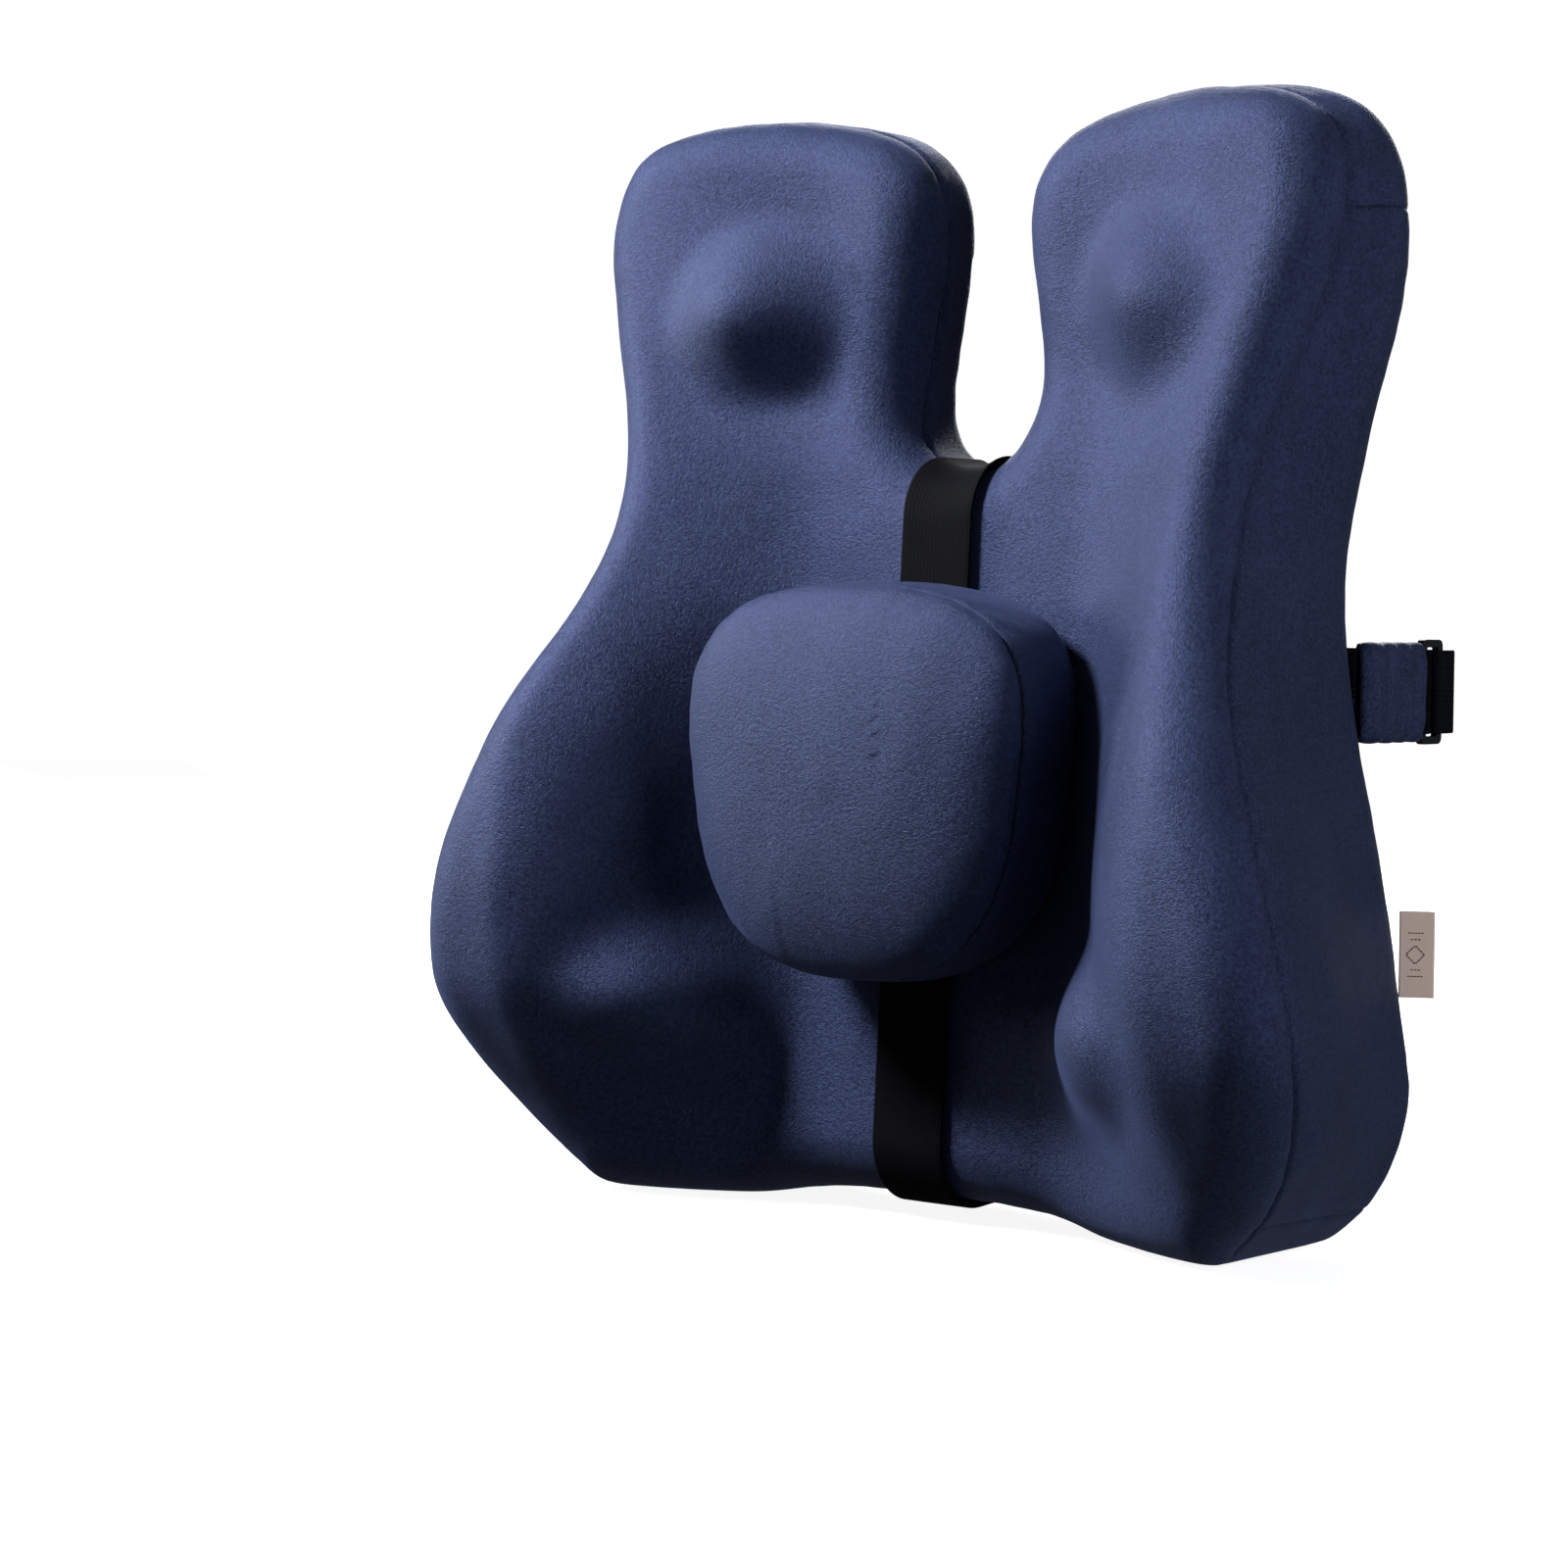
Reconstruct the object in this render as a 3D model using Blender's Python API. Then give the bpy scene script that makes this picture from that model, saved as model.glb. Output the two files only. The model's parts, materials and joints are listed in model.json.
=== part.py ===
"""Lumbar support cushion with two shoulder lobes, a sliding lumbar pad and a chair strap.

Axes: X across the cushion, -Y the side that meets the back, +Z up, standing on its base at Z = 0.
The shape is worked out in millimetres with the flat back at y = 0 and written out in metres.
"""

import math

import bmesh
import bpy
import numpy as np
from mathutils.geometry import delaunay_2d_cdt

# ------------------------------------------------------------------ driving sizes, in mm
WIDTH = 374.0             # across the hips, the widest place
HEIGHT = 430.0            # floor to the top of the lobes
DEPTH_SCALE = 1.0         # share of the designed depth, front to back

FRONT_ROUND = 23.0        # radius of the soft edge between the front face and the side wall
BACK_ROUND_SIDE = 26.0    # radius of the back edge along the sides
BACK_ROUND_LOW = 11.0     # radius of the back edge along the base and in the notch
COVER_T = 1.6             # outer fabric with its knitted backing
LINER_T = 0.8             # thin inner cover round the foam
LAYER_GAP = 0.4           # clearance between one fabric layer and the next
SEAM_GAP = 0.7            # width of the sewn line between two panels
BUMP_HEIGHT = 18.0        # rise of each of the four massage bumps
BUMP_RADIUS = 42.0
UPPER_BUMP = (93.0, 353.0)
LOWER_BUMP = (97.0, 79.0)

PAD_WIDTH = 154.0
PAD_HEIGHT = 149.0
PAD_DEPTH = 64.0
PAD_EDGE = 13.0           # least height of the pad's side, over the wings
PAD_CENTRE_Z = 170.5
PAD_SLIDE_DOWN = 20.0
PAD_SLIDE_UP = 40.0
STRAP_WIDTH = 33.0        # black elastic that carries the pad
STRAP_T = 1.5
TUNNEL_T = 1.0            # fabric tunnel on the back of the pad

ZIP_HALF = 159.0          # half the length of the slot for the zip
ZIP_Z = 32.0
ZIP_SLOT_HALF = 7.0
ZIP_TRAVEL = 294.0
PULL_LENGTH = 25.0        # the pull below its knuckle
SLIDER_X = 147.5          # slider at rest, at the closed end

CHAIR_STRAP_Z = 207.0     # middle height of the strap round the chair
CHAIR_WEB_WIDTH = 32.0
CHAIR_WEB_T = 1.4
CHAIR_STRAP_Y = 64.0      # how far behind the back face the buckle's middle lies
SLEEVE_LENGTH = 36.0
RING_LENGTH = 15.0        # rectangular ring between the elastic and the webbing
BUCKLE_X = -50.0          # where the two halves of the buckle meet
BUCKLE_THICK = 12.0
BUCKLE_RELEASE = 32.0
FOLD_R = 3.2              # middle of a strap folded round a bar, from the bar's middle

STRAP_REACH = CHAIR_STRAP_Y + BUCKLE_THICK / 2   # furthest the buckle stands behind the back

# The half outline of the back face, as the control points of a cubic spline, for a cushion
# 374 wide and 430 tall: middle of the base, foot, hip, waist, shoulder, lobe top, notch.
OUTLINE = (
    (0.0, 7.0), (64.0, 8.5), (129.0, -18.0), (180.0, 18.0), (188.5, 79.0), (176.0, 142.0),
    (160.0, 206.0), (156.0, 252.0), (166.5, 307.0), (187.6, 368.0), (176.0, 425.0), (122.0, 434.0),
    (52.0, 431.0), (18.0, 405.0), (25.0, 353.0), (36.0, 302.0), (0.0, 282.5),
)
OUTLINE_SIZE = (374.0, 430.0)

# Depth of the front face at the middle line and at the side wings, and how far the wall leans
# outwards from back to front, at these heights as shares of the whole height.
DEPTH_AT = (0.0, 0.21, 0.42, 0.63, 0.84, 1.02)
WING_DEPTH = (98.0, 142.0, 138.0, 97.0, 71.0, 64.0)
MIDDLE_DEPTH_BASE = 72.0
MIDDLE_DEPTH_NOTCH = 56.0
LOBE_INNER_DEPTH = 47.0
WING_STARTS, WING_ENDS = 58.0, 156.0     # the front face rises to its wings between these places
FLARE_AT = (0.0, 0.21, 0.42, 0.63, 1.02)
WING_FLARE = (-3.0, 16.0, 9.0, -13.0, -5.0)

OUTLINE_POINTS = 92       # points round the outline
LATTICE = 22.0            # spacing of the mesh on the front face

SX, SZ = WIDTH / OUTLINE_SIZE[0], HEIGHT / OUTLINE_SIZE[1]
BACK_PLANE_Y = (max(WING_DEPTH) * DEPTH_SCALE - STRAP_REACH) / 2
MM = 0.001


# ------------------------------------------------------------------ small helpers
def smooth(a, b, x):
    """0 below a, 1 above b, and an S-curve between."""
    t = np.clip((np.asarray(x, float) - a) / (b - a), 0.0, 1.0)
    return t * t * (3 - 2 * t)


def smooth_table(x, knots, values):
    """A smooth curve through the table's values, level outside it."""
    knots, values = np.asarray(knots, float), np.asarray(values, float)
    slopes = np.gradient(values, knots)
    slopes[0] = slopes[-1] = 0.0
    x = np.clip(np.asarray(x, float), knots[0], knots[-1])
    k = np.clip(np.searchsorted(knots, x, side="right") - 1, 0, len(knots) - 2)
    width = knots[k + 1] - knots[k]
    t = (x - knots[k]) / width
    return (
        (2 * t**3 - 3 * t**2 + 1) * values[k]
        + (t**3 - 2 * t**2 + t) * width * slopes[k]
        + (3 * t**2 - 2 * t**3) * values[k + 1]
        + (t**3 - t**2) * width * slopes[k + 1]
    )


def material(name, colour, rough, metallic=0.0):
    made = bpy.data.materials.new(name)
    made.use_nodes = True
    shader = made.node_tree.nodes["Principled BSDF"]
    shader.inputs["Base Color"].default_value = (*colour, 1.0)
    shader.inputs["Roughness"].default_value = rough
    shader.inputs["Metallic"].default_value = metallic
    made.diffuse_color = (*colour, 1.0)
    return made


def add_node(name, points, faces, mat, origin=(0.0, 0.0, 0.0), round_shape=True):
    """One closed solid from points in mm. The origin is where its joint axis passes, in mm."""
    points = np.asarray(points, float)
    start = np.asarray(origin, float)
    mesh = bpy.data.meshes.new(name)
    mesh.from_pydata(((points - start) * MM).tolist(), [], [list(map(int, f)) for f in faces])
    mesh.validate()
    work = bmesh.new()
    work.from_mesh(mesh)
    bmesh.ops.recalc_face_normals(work, faces=work.faces)
    work.to_mesh(mesh)
    work.free()
    mesh.polygons.foreach_set("use_smooth", [round_shape] * len(mesh.polygons))
    mesh.materials.append(mat)
    made = bpy.data.objects.new(name, mesh)
    shift = np.array((0.0, BACK_PLANE_Y, 0.0))
    made.location = ((start + shift) * MM).tolist()
    bpy.context.collection.objects.link(made)
    return made


def vertex_normals(points, faces):
    """Area-weighted unit normals of a triangle mesh."""
    a, b, c = (points[faces[:, k]] for k in range(3))
    face_normals = np.cross(b - a, c - a)
    normals = np.zeros_like(points)
    for k in range(3):
        np.add.at(normals, faces[:, k], face_normals)
    return normals / np.maximum(np.linalg.norm(normals, axis=1, keepdims=True), 1e-9)


def share_direction(normals, first, second):
    """Gives both sides of a seam the same inward direction, so that neither panel cuts the other."""
    both = normals[first] + normals[second]
    both /= np.linalg.norm(both, axis=1, keepdims=True)
    normals[first] = both
    normals[second] = both


def shell(outer, inner, faces):
    """A closed fabric panel: the faces on its outer side, the same on its inner side, and its rim."""
    used = np.unique(faces)
    new = -np.ones(len(outer), int)
    new[used] = np.arange(len(used))
    top = new[faces]
    low = top[:, ::-1] + len(used)
    ends = np.concatenate([top[:, [0, 1]], top[:, [1, 2]], top[:, [2, 0]]])
    forward = {(int(a), int(b)) for a, b in ends}
    rim = []
    for a, b in forward:
        if (b, a) not in forward:
            rim += [(b, a, a + len(used)), (b, a + len(used), b + len(used))]
    return np.concatenate([outer[used], inner[used]]), np.concatenate([top, low, np.array(rim)])


def band(path, thickness, low, high):
    """An upright flat strap: a line in plan, given its thickness, between two heights."""
    path = np.asarray(path, float)
    along = np.gradient(path, axis=0)
    along /= np.linalg.norm(along, axis=1, keepdims=True)
    side = np.stack([-along[:, 1], along[:, 0]], 1) * thickness / 2
    left, right = path + side, path - side
    rows = [np.column_stack([p, np.full(len(path), z)]) for p in (left, right) for z in (low, high)]
    return loft_rows([rows[0], rows[1], rows[3], rows[2]])


def loft_rows(rows):
    """A closed tube between rows of points, with flat ends."""
    n, k = len(rows[0]), len(rows)
    points = np.concatenate(rows)
    faces = []
    for r in range(k):
        s = (r + 1) % k
        for i in range(n - 1):
            a, b, c, d = r * n + i, r * n + i + 1, s * n + i + 1, s * n + i
            faces += [(a, b, c), (a, c, d)]
    first = [r * n for r in range(k)]
    last = [r * n + n - 1 for r in range(k)]
    for r in range(1, k - 1):
        faces += [(first[0], first[r], first[r + 1]), (last[0], last[r + 1], last[r])]
    return points, faces


def box(low, high):
    """Eight corners and six faces between two corners."""
    (x0, y0, z0), (x1, y1, z1) = low, high
    points = [(x, y, z) for x in (x0, x1) for y in (y0, y1) for z in (z0, z1)]
    faces = [(0, 1, 3, 2), (4, 6, 7, 5), (0, 4, 5, 1), (2, 3, 7, 6), (0, 2, 6, 4), (1, 5, 7, 3)]
    return points, faces


def plate(outline, holes, low, high, axis):
    """A flat plate with holes: its outline in the plane across the axis, from low to high along it."""
    loops = [np.asarray(loop, float) for loop in (outline, *holes)]
    flat = np.concatenate(loops)
    edges, at = [], 0
    for loop in loops:
        n = len(loop)
        edges += [(at + i, at + (i + 1) % n) for i in range(n)]
        at += n
    tris = inside_triangles(flat, edges, loops[0], loops[1:])
    others = [k for k in range(3) if k != axis]
    def lifted(value):
        out = np.zeros((len(flat), 3))
        out[:, others] = flat
        out[:, axis] = value
        return out
    return shell(lifted(high), lifted(low), tris)


def inside_polygon(points, loop):
    x, z = points[:, 0][:, None], points[:, 1][:, None]
    ax, az = loop[:, 0], loop[:, 1]
    bx, bz = np.roll(ax, -1), np.roll(az, -1)
    rise = np.where(bz == az, 1e-12, bz - az)
    crosses = ((az > z) != (bz > z)) & (x < (bx - ax) * (z - az) / rise + ax)
    return crosses.sum(1) % 2 == 1


def inside_triangles(flat, edges, outer, holes=()):
    """Triangles that fill the outline between its constrained edges, leaving out the holes."""
    result = delaunay_2d_cdt([tuple(p) for p in flat], edges, [], 0, 1e-7)
    where = {}
    for new, olds in enumerate(result[3]):
        where[new] = olds[0]
    tris = np.array([[where[v] for v in face] for face in result[2]])
    middle = flat[tris].mean(1)
    keep = inside_polygon(middle, outer)
    for hole in holes:
        keep &= ~inside_polygon(middle, hole)
    tris = tris[keep]
    a, b, c = (flat[tris[:, k]] for k in range(3))
    turned = np.cross(b - a, c - a) < 0
    tris[turned] = tris[turned][:, ::-1]
    return tris


# ------------------------------------------------------------------ shape of the cushion
def middle_depth(z):
    """Depth of the front face on the middle line: a straight lean, then the thinner lobes."""
    z = np.asarray(z, float) / SZ
    lean = MIDDLE_DEPTH_BASE + (MIDDLE_DEPTH_NOTCH - MIDDLE_DEPTH_BASE) * np.minimum(z, 283) / 283
    return lean + (LOBE_INNER_DEPTH - MIDDLE_DEPTH_NOTCH) * smooth(283, 340, z)


def front_depth(x, z, bumps=True):
    """How far the front face stands forward of the back, with its wings and its bumps."""
    x, z = np.asarray(x, float), np.asarray(z, float)
    middle = middle_depth(z)
    wing = smooth_table(z / HEIGHT, DEPTH_AT, WING_DEPTH)
    depth = middle + (wing - middle) * smooth(WING_STARTS, WING_ENDS, np.abs(x) / SX)
    if bumps:
        for bx, bz in (UPPER_BUMP, LOWER_BUMP):
            r = np.hypot(np.abs(x) - bx * SX, z - bz * SZ) / BUMP_RADIUS
            depth = depth + BUMP_HEIGHT * np.where(r < 1, 0.5 + 0.5 * np.cos(np.pi * np.minimum(r, 1)), 0)
    return depth * DEPTH_SCALE


def outline_curve():
    """The closed outline of the back face, denser where it bends or rests, from the base's middle."""
    half = np.array(OUTLINE) * (SX, SZ)
    control = np.vstack([half, half[1:-1][::-1] * (-1, 1)])
    fine = 2400
    t = np.arange(fine) / fine * len(control)
    k, f = np.floor(t).astype(int), (t % 1)[:, None]
    weights = ((1 - f) ** 3 / 6, (3 * f**3 - 6 * f**2 + 4) / 6,
               (-3 * f**3 + 3 * f**2 + 3 * f + 1) / 6, f**3 / 6)
    curve = sum(w * control[(k + j - 1) % len(control)] for j, w in enumerate(weights))
    along = np.roll(curve, -1, 0) - np.roll(curve, 1, 0)
    along /= np.linalg.norm(along, axis=1, keepdims=True)
    normal = np.stack([along[:, 1], -along[:, 0]], 1)
    curve[:, 1] = np.maximum(curve[:, 1], 0.0)
    step = np.linalg.norm(np.roll(curve, -1, 0) - curve, axis=1)
    turn = np.linalg.norm(np.roll(normal, -1, 0) - normal, axis=1)
    density = step / 36 + turn / 0.42 + np.where(curve[:, 1] <= 0, step / 16, 0)
    run = np.concatenate([[0], np.cumsum(density)])
    at = np.linspace(0, run[-1], OUTLINE_POINTS, endpoint=False)
    index = np.interp(at, run, np.arange(fine + 1))
    return curve, normal, index


def outline_at(curve, normal, index):
    """Points and outward directions at fractional places on the fine outline."""
    n = len(curve)
    k, f = np.floor(index).astype(int) % n, (index % 1)[:, None]
    point = curve[k] * (1 - f) + curve[(k + 1) % n] * f
    out = normal[k] * (1 - f) + normal[(k + 1) % n] * f
    return point, out / np.linalg.norm(out, axis=1, keepdims=True)


CURVE, CURVE_NORMAL, COLUMN_INDEX = outline_curve()


def back_round(point):
    """Radius of the back edge: soft along the sides, tighter at the base and in the notch."""
    x, z = np.abs(point[:, 0]) / SX, point[:, 1] / SZ
    share = smooth(60, 130, x) * smooth(45, 100, z)
    return BACK_ROUND_LOW + (BACK_ROUND_SIDE - BACK_ROUND_LOW) * share


def wall_flare(point, out):
    """How far the side wall leans outwards by the front edge; nothing where it faces up or down."""
    x, z = np.abs(point[:, 0]) / SX, point[:, 1] / HEIGHT
    return smooth_table(z, FLARE_AT, WING_FLARE) * smooth(60, 130, x) * np.abs(out[:, 0])


def column_rings(point, out):
    """Rings of points from the front face, over the soft edge, down the wall, to the flat back.

    The two rings of each seam lie SEAM_GAP apart: (3, 4) at the front and (6, 7) at the back.
    """
    rb = back_round(point)
    lean = out * wall_flare(point, out)[:, None]
    lean[point[:, 1] <= 0, 1] = 0.0          # the base stays flat on the floor
    inner = point + lean - out * FRONT_ROUND
    depth = front_depth(inner[:, 0], inner[:, 1], bumps=False)
    rings = []

    def ring(leaning, inset, y):
        at = point + lean * leaning - out * np.reshape(inset, (-1, 1))
        at[:, 1] = np.maximum(at[:, 1], 0.0)
        rings.append(np.stack([at[:, 0], y, at[:, 1]], 1))

    for a in np.radians((90, 60, 28, 0)):
        ring(1, FRONT_ROUND * (1 - math.cos(a)), -depth + FRONT_ROUND * (1 - math.sin(a)))
    ring(1 - SEAM_GAP / 60, 0.0, -depth + FRONT_ROUND + SEAM_GAP)
    ring(0, 0.0, -rb)
    for shift in (-0.6, 0.6):
        a = math.pi / 4 + shift * SEAM_GAP / rb
        ring(0, rb * (1 - np.cos(a)), -rb + rb * np.sin(a))
    ring(0, rb, rb * 0)
    return rings


def split_columns():
    """Outline places with a second one just past each gusset seam; the seams' positions as columns."""
    point, _ = outline_at(CURVE, CURVE_NORMAL, COLUMN_INDEX)
    x, z = point[:, 0], point[:, 1]
    right = np.arange(OUTLINE_POINTS) < OUTLINE_POINTS // 2
    def nearest(want_x, want_z):
        gap = np.hypot(x - want_x * SX, z - want_z * SZ) + np.where(right, 0, 1e6)
        return int(np.argmin(gap))
    low, high = nearest(168, 12), nearest(182, 384)
    seams = sorted([low, high, OUTLINE_POINTS - high, OUTLINE_POINTS - low])
    total = np.linalg.norm(np.roll(CURVE, -1, 0) - CURVE, axis=1).sum()
    step = SEAM_GAP / total * len(CURVE)
    index, pairs = [], []
    for i, value in enumerate(COLUMN_INDEX):
        index.append(value)
        if i in seams:
            pairs.append(len(index) - 1)
            index.append(value + step)
    return np.array(index), pairs


def cushion_surface():
    """The outer surface as one triangle mesh, with each face's ring band, column and region."""
    index, pairs = split_columns()
    point, out = outline_at(CURVE, CURVE_NORMAL, index)
    rings = column_rings(point, out)
    n, levels = len(point), len(rings)
    points = np.concatenate(rings)
    faces, band_of, column_of = [], [], []
    for r in range(levels - 1):
        for i in range(n):
            j = (i + 1) % n
            a, b, c, d = r * n + i, r * n + j, (r + 1) * n + j, (r + 1) * n + i
            faces += [(a, c, b), (a, d, c)]
            band_of += [r, r]
            column_of += [i, i]
    # front face: a triangular lattice inside the first ring
    loop = rings[0][:, [0, 2]]
    rows = np.arange(0, HEIGHT, LATTICE * math.sqrt(3) / 2)
    lattice = np.array([(x + (LATTICE / 2 if k % 2 else 0), z)
                        for k, z in enumerate(rows) for x in np.arange(-220, 221, LATTICE)])
    gap = np.min(np.hypot(lattice[:, None, 0] - loop[None, :, 0],
                          lattice[:, None, 1] - loop[None, :, 1]), 1)
    lattice = lattice[inside_polygon(lattice, loop) & (gap > LATTICE * 0.5)]
    flat = np.concatenate([loop, lattice])
    tris = inside_triangles(flat, [(i, (i + 1) % n) for i in range(n)], loop)
    inner = np.stack([lattice[:, 0], -front_depth(lattice[:, 0], lattice[:, 1]), lattice[:, 1]], 1)
    offset = len(points)
    where = np.concatenate([np.arange(n), offset + np.arange(len(lattice))])
    points = np.concatenate([points, inner])
    faces += where[tris].tolist()
    band_of += [-1] * len(tris)
    column_of += [-1] * len(tris)
    # flat back, with the rectangle of the zip in its mesh
    loop = rings[-1][:, [0, 2]]
    slot = np.array([(-ZIP_HALF, ZIP_Z - ZIP_SLOT_HALF), (ZIP_HALF, ZIP_Z - ZIP_SLOT_HALF),
                     (ZIP_HALF, ZIP_Z + ZIP_SLOT_HALF), (-ZIP_HALF, ZIP_Z + ZIP_SLOT_HALF)]) * (SX, 1)
    flat = np.concatenate([loop, slot])
    edges = [(i, (i + 1) % n) for i in range(n)] + [(n + i, n + (i + 1) % 4) for i in range(4)]
    tris = inside_triangles(flat, edges, loop)
    in_slot = inside_polygon(flat[tris].mean(1), slot)
    offset = len(points)
    where = np.concatenate([(levels - 1) * n + np.arange(n), offset + np.arange(4)])
    points = np.concatenate([points, np.stack([slot[:, 0], np.zeros(4), slot[:, 1]], 1)])
    faces += where[tris][:, ::-1].tolist()
    band_of += [levels if s else levels - 1 for s in in_slot]
    column_of += [-1] * len(tris)
    return points, np.array(faces), np.array(band_of), np.array(column_of), n, levels, pairs


def merged(faces, n, levels, pairs, seams=(4, 7)):
    """The faces with the two rings of these seams, and each pair of columns, drawn together."""
    to = np.arange(faces.max() + 1)
    for ring in seams:
        to[ring * n:(ring + 1) * n] = to[(ring - 1) * n:ring * n]
    for p in pairs:
        for r in range(levels):
            to[r * n + p + 1] = to[r * n + p]
    faces = to[faces]
    whole = (faces[:, 0] != faces[:, 1]) & (faces[:, 1] != faces[:, 2]) & (faces[:, 0] != faces[:, 2])
    return faces[whole], whole


def compact(points, faces):
    used = np.unique(faces)
    new = np.zeros(len(points), int)
    new[used] = np.arange(len(used))
    return points[used], new[faces]


# ------------------------------------------------------------------ the cushion's own pieces
def make_cushion(mats):
    points, faces, bands, columns, n, levels, pairs = cushion_surface()
    normals = vertex_normals(points, faces)
    for ring in (3, 6):
        share_direction(normals, np.arange(ring * n, (ring + 1) * n),
                        np.arange((ring + 1) * n, (ring + 2) * n))
    for p in pairs:
        rows = np.arange(levels) * n
        share_direction(normals, rows + p, rows + p + 1)
    flat_back = points[:, 1] > -1e-6
    normals[flat_back] = (0.0, 1.0, 0.0)
    under = (points[:, 2] < 1e-6) & (normals[:, 2] < -0.5)
    normals[under] = (0.0, 0.0, -1.0)

    def layer(depth):
        return points - normals * depth

    def panel(name, chosen, mat):
        add_node(name, *shell(layer(0.0), layer(COVER_T), faces[chosen]), mat)

    seam_columns = np.isin(columns, pairs)
    whole_front, _ = merged(faces[(bands == -1) | ((bands >= 0) & (bands <= 2))], n, levels, pairs, ())
    add_node("cover_front_panel", *shell(layer(0.0), layer(COVER_T), whole_front), mats["cover"])
    wall = (bands >= 4) & (bands <= 5) & ~seam_columns
    low_r, high_r, high_l, low_l = pairs
    spans = {
        "cover_gusset_right": (columns > low_r) & (columns < high_r),
        "cover_gusset_top": (columns > high_r) & (columns < high_l),
        "cover_gusset_left": (columns > high_l) & (columns < low_l),
        "cover_gusset_base": (columns > low_l) | (columns < low_r),
    }
    for name, span in spans.items():
        panel(name, wall & span, mats["cover_side"])
    back, _ = merged(faces[(bands == 7) | (bands == 8)], n, levels, pairs, ())
    add_node("cover_back_panel", *shell(layer(0.0), layer(COVER_T), back), mats["cover_back"])

    closed, kept = merged(faces, n, levels, pairs)
    closed_bands = bands[kept]
    first = COVER_T + LAYER_GAP
    add_node("inner_liner", *shell(layer(first), layer(first + LINER_T), closed[closed_bands != levels]),
             mats["liner"])
    core = layer(first + LINER_T + LAYER_GAP)
    add_node("foam_core", *compact(core, closed), mats["foam"])


def make_zip(mats):
    """Tapes, coil, stops, slider and pull of the zip across the bottom of the back."""
    half = ZIP_HALF * SX - 0.5
    for name, sign in (("zip_tape_upper", 1), ("zip_tape_lower", -1)):
        z0, z1 = sorted((ZIP_Z + sign * 1.9, ZIP_Z + sign * (ZIP_SLOT_HALF - 0.4)))
        add_node(name, *box((-half, -1.2, z0), (half, -0.4, z1)), mats["tape"], round_shape=False)
    coil_half = half - 4.0
    section = [(1.5 * math.cos(a), 0.9 * math.sin(a)) for a in np.arange(8) * math.pi / 4 + math.pi / 8]
    rows = [np.array([(x, y, ZIP_Z + z) for x in (-coil_half, coil_half)]) for z, y in section]
    add_node("zip_coil", *loft_rows(rows), mats["tape"])
    for name, sign in (("zip_stop_closed", 1), ("zip_stop_open", -1)):
        x0, x1 = sorted((sign * (coil_half + 0.4), sign * (coil_half + 2.8)))
        block = box((x0, -0.1, ZIP_Z - 3.4), (x1, 1.5, ZIP_Z + 3.4))
        add_node(name, *block, mats["metal"], round_shape=False)
    x = SLIDER_X * SX
    # the slider's plate over the coil, its two edges turned down, and the bail that carries the pull
    profile = [(-4.6, 0.1), (-2.0, 0.1), (-2.0, 1.3), (2.0, 1.3),
               (2.0, 0.1), (4.6, 0.1), (4.2, 2.6), (-4.2, 2.6)]
    rows = [np.array([(x + dx, y, ZIP_Z + z) for dx in (-6.5, 6.5)]) for z, y in profile]
    points, faces = loft_fan(rows, [(0, 1, 2, 7), (2, 3, 6, 7), (3, 4, 5, 6)])
    body = add_node("zip_slider", points, faces, mats["metal"], (x, 2.0, ZIP_Z), round_shape=False)
    bail = [(-5.0, 1.6), (-5.0, 5.3), (5.0, 5.3), (5.0, 1.6),
            (3.6, 1.6), (3.6, 4.1), (-3.6, 4.1), (-3.6, 1.6)]
    arch = plate([(x + a, b) for a, b in bail], (), ZIP_Z - 0.6, ZIP_Z + 0.6, axis=2)
    cutter = add_node("zip_bail_shape", *arch, mats["metal"], round_shape=False)
    unite(body, cutter)
    # the pull: a knuckle round the bail's bar, a thin neck and a drop
    axis_y, axis_z = 4.7, ZIP_Z
    turns = np.arange(12) * math.pi / 6 + math.pi / 12
    ring, hole = ([(axis_y + r * math.cos(a), axis_z + r * math.sin(a)) for a in turns] for r in (1.9, 1.15))
    knuckle = plate(ring, (hole,), x - 1.6, x + 1.6, axis=0)
    pull = add_node("zip_pull", *knuckle, mats["pull"], (x, axis_y, axis_z))
    drop = []
    for t in np.linspace(0, 1, 9):
        half_w = 0.9 if t < 0.4 else 0.9 + 2.0 * math.sin(math.pi * (t - 0.4) / 0.67) ** 1.5
        drop.append((half_w, axis_z - 1.5 - t * PULL_LENGTH))
    outline = [(x + w, z) for w, z in drop] + [(x - w, z) for w, z in reversed(drop)]
    tongue = add_node("zip_drop_shape", *plate(outline, (), axis_y - 0.8, axis_y + 0.8, axis=1), mats["pull"])
    unite(pull, tongue)


def loft_fan(rows, quads):
    """A prism between two ends whose end faces are given as four-sided pieces."""
    n, k = len(rows[0]), len(rows)
    points = np.concatenate(rows)
    faces = []
    for r in range(k):
        s = (r + 1) % k
        faces.append((r * n, r * n + 1, s * n + 1, s * n))
    for quad in quads:
        faces.append(tuple(q * n for q in quad))
        faces.append(tuple(q * n + 1 for q in reversed(quad)))
    return points, faces


def unite(target, other):
    """Joins a helper solid to a node and drops the helper."""
    combine(target, other, "UNION")


def cut(target, other):
    combine(target, other, "DIFFERENCE")


def combine(target, other, operation):
    bpy.context.view_layer.update()
    step = target.modifiers.new(operation.title(), "BOOLEAN")
    step.operation, step.solver, step.object = operation, "EXACT", other
    bpy.context.view_layer.objects.active = target
    graph = bpy.context.evaluated_depsgraph_get()
    made = bpy.data.meshes.new_from_object(target.evaluated_get(graph))
    target.modifiers.clear()
    target.data = made
    bpy.data.objects.remove(other)


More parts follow.
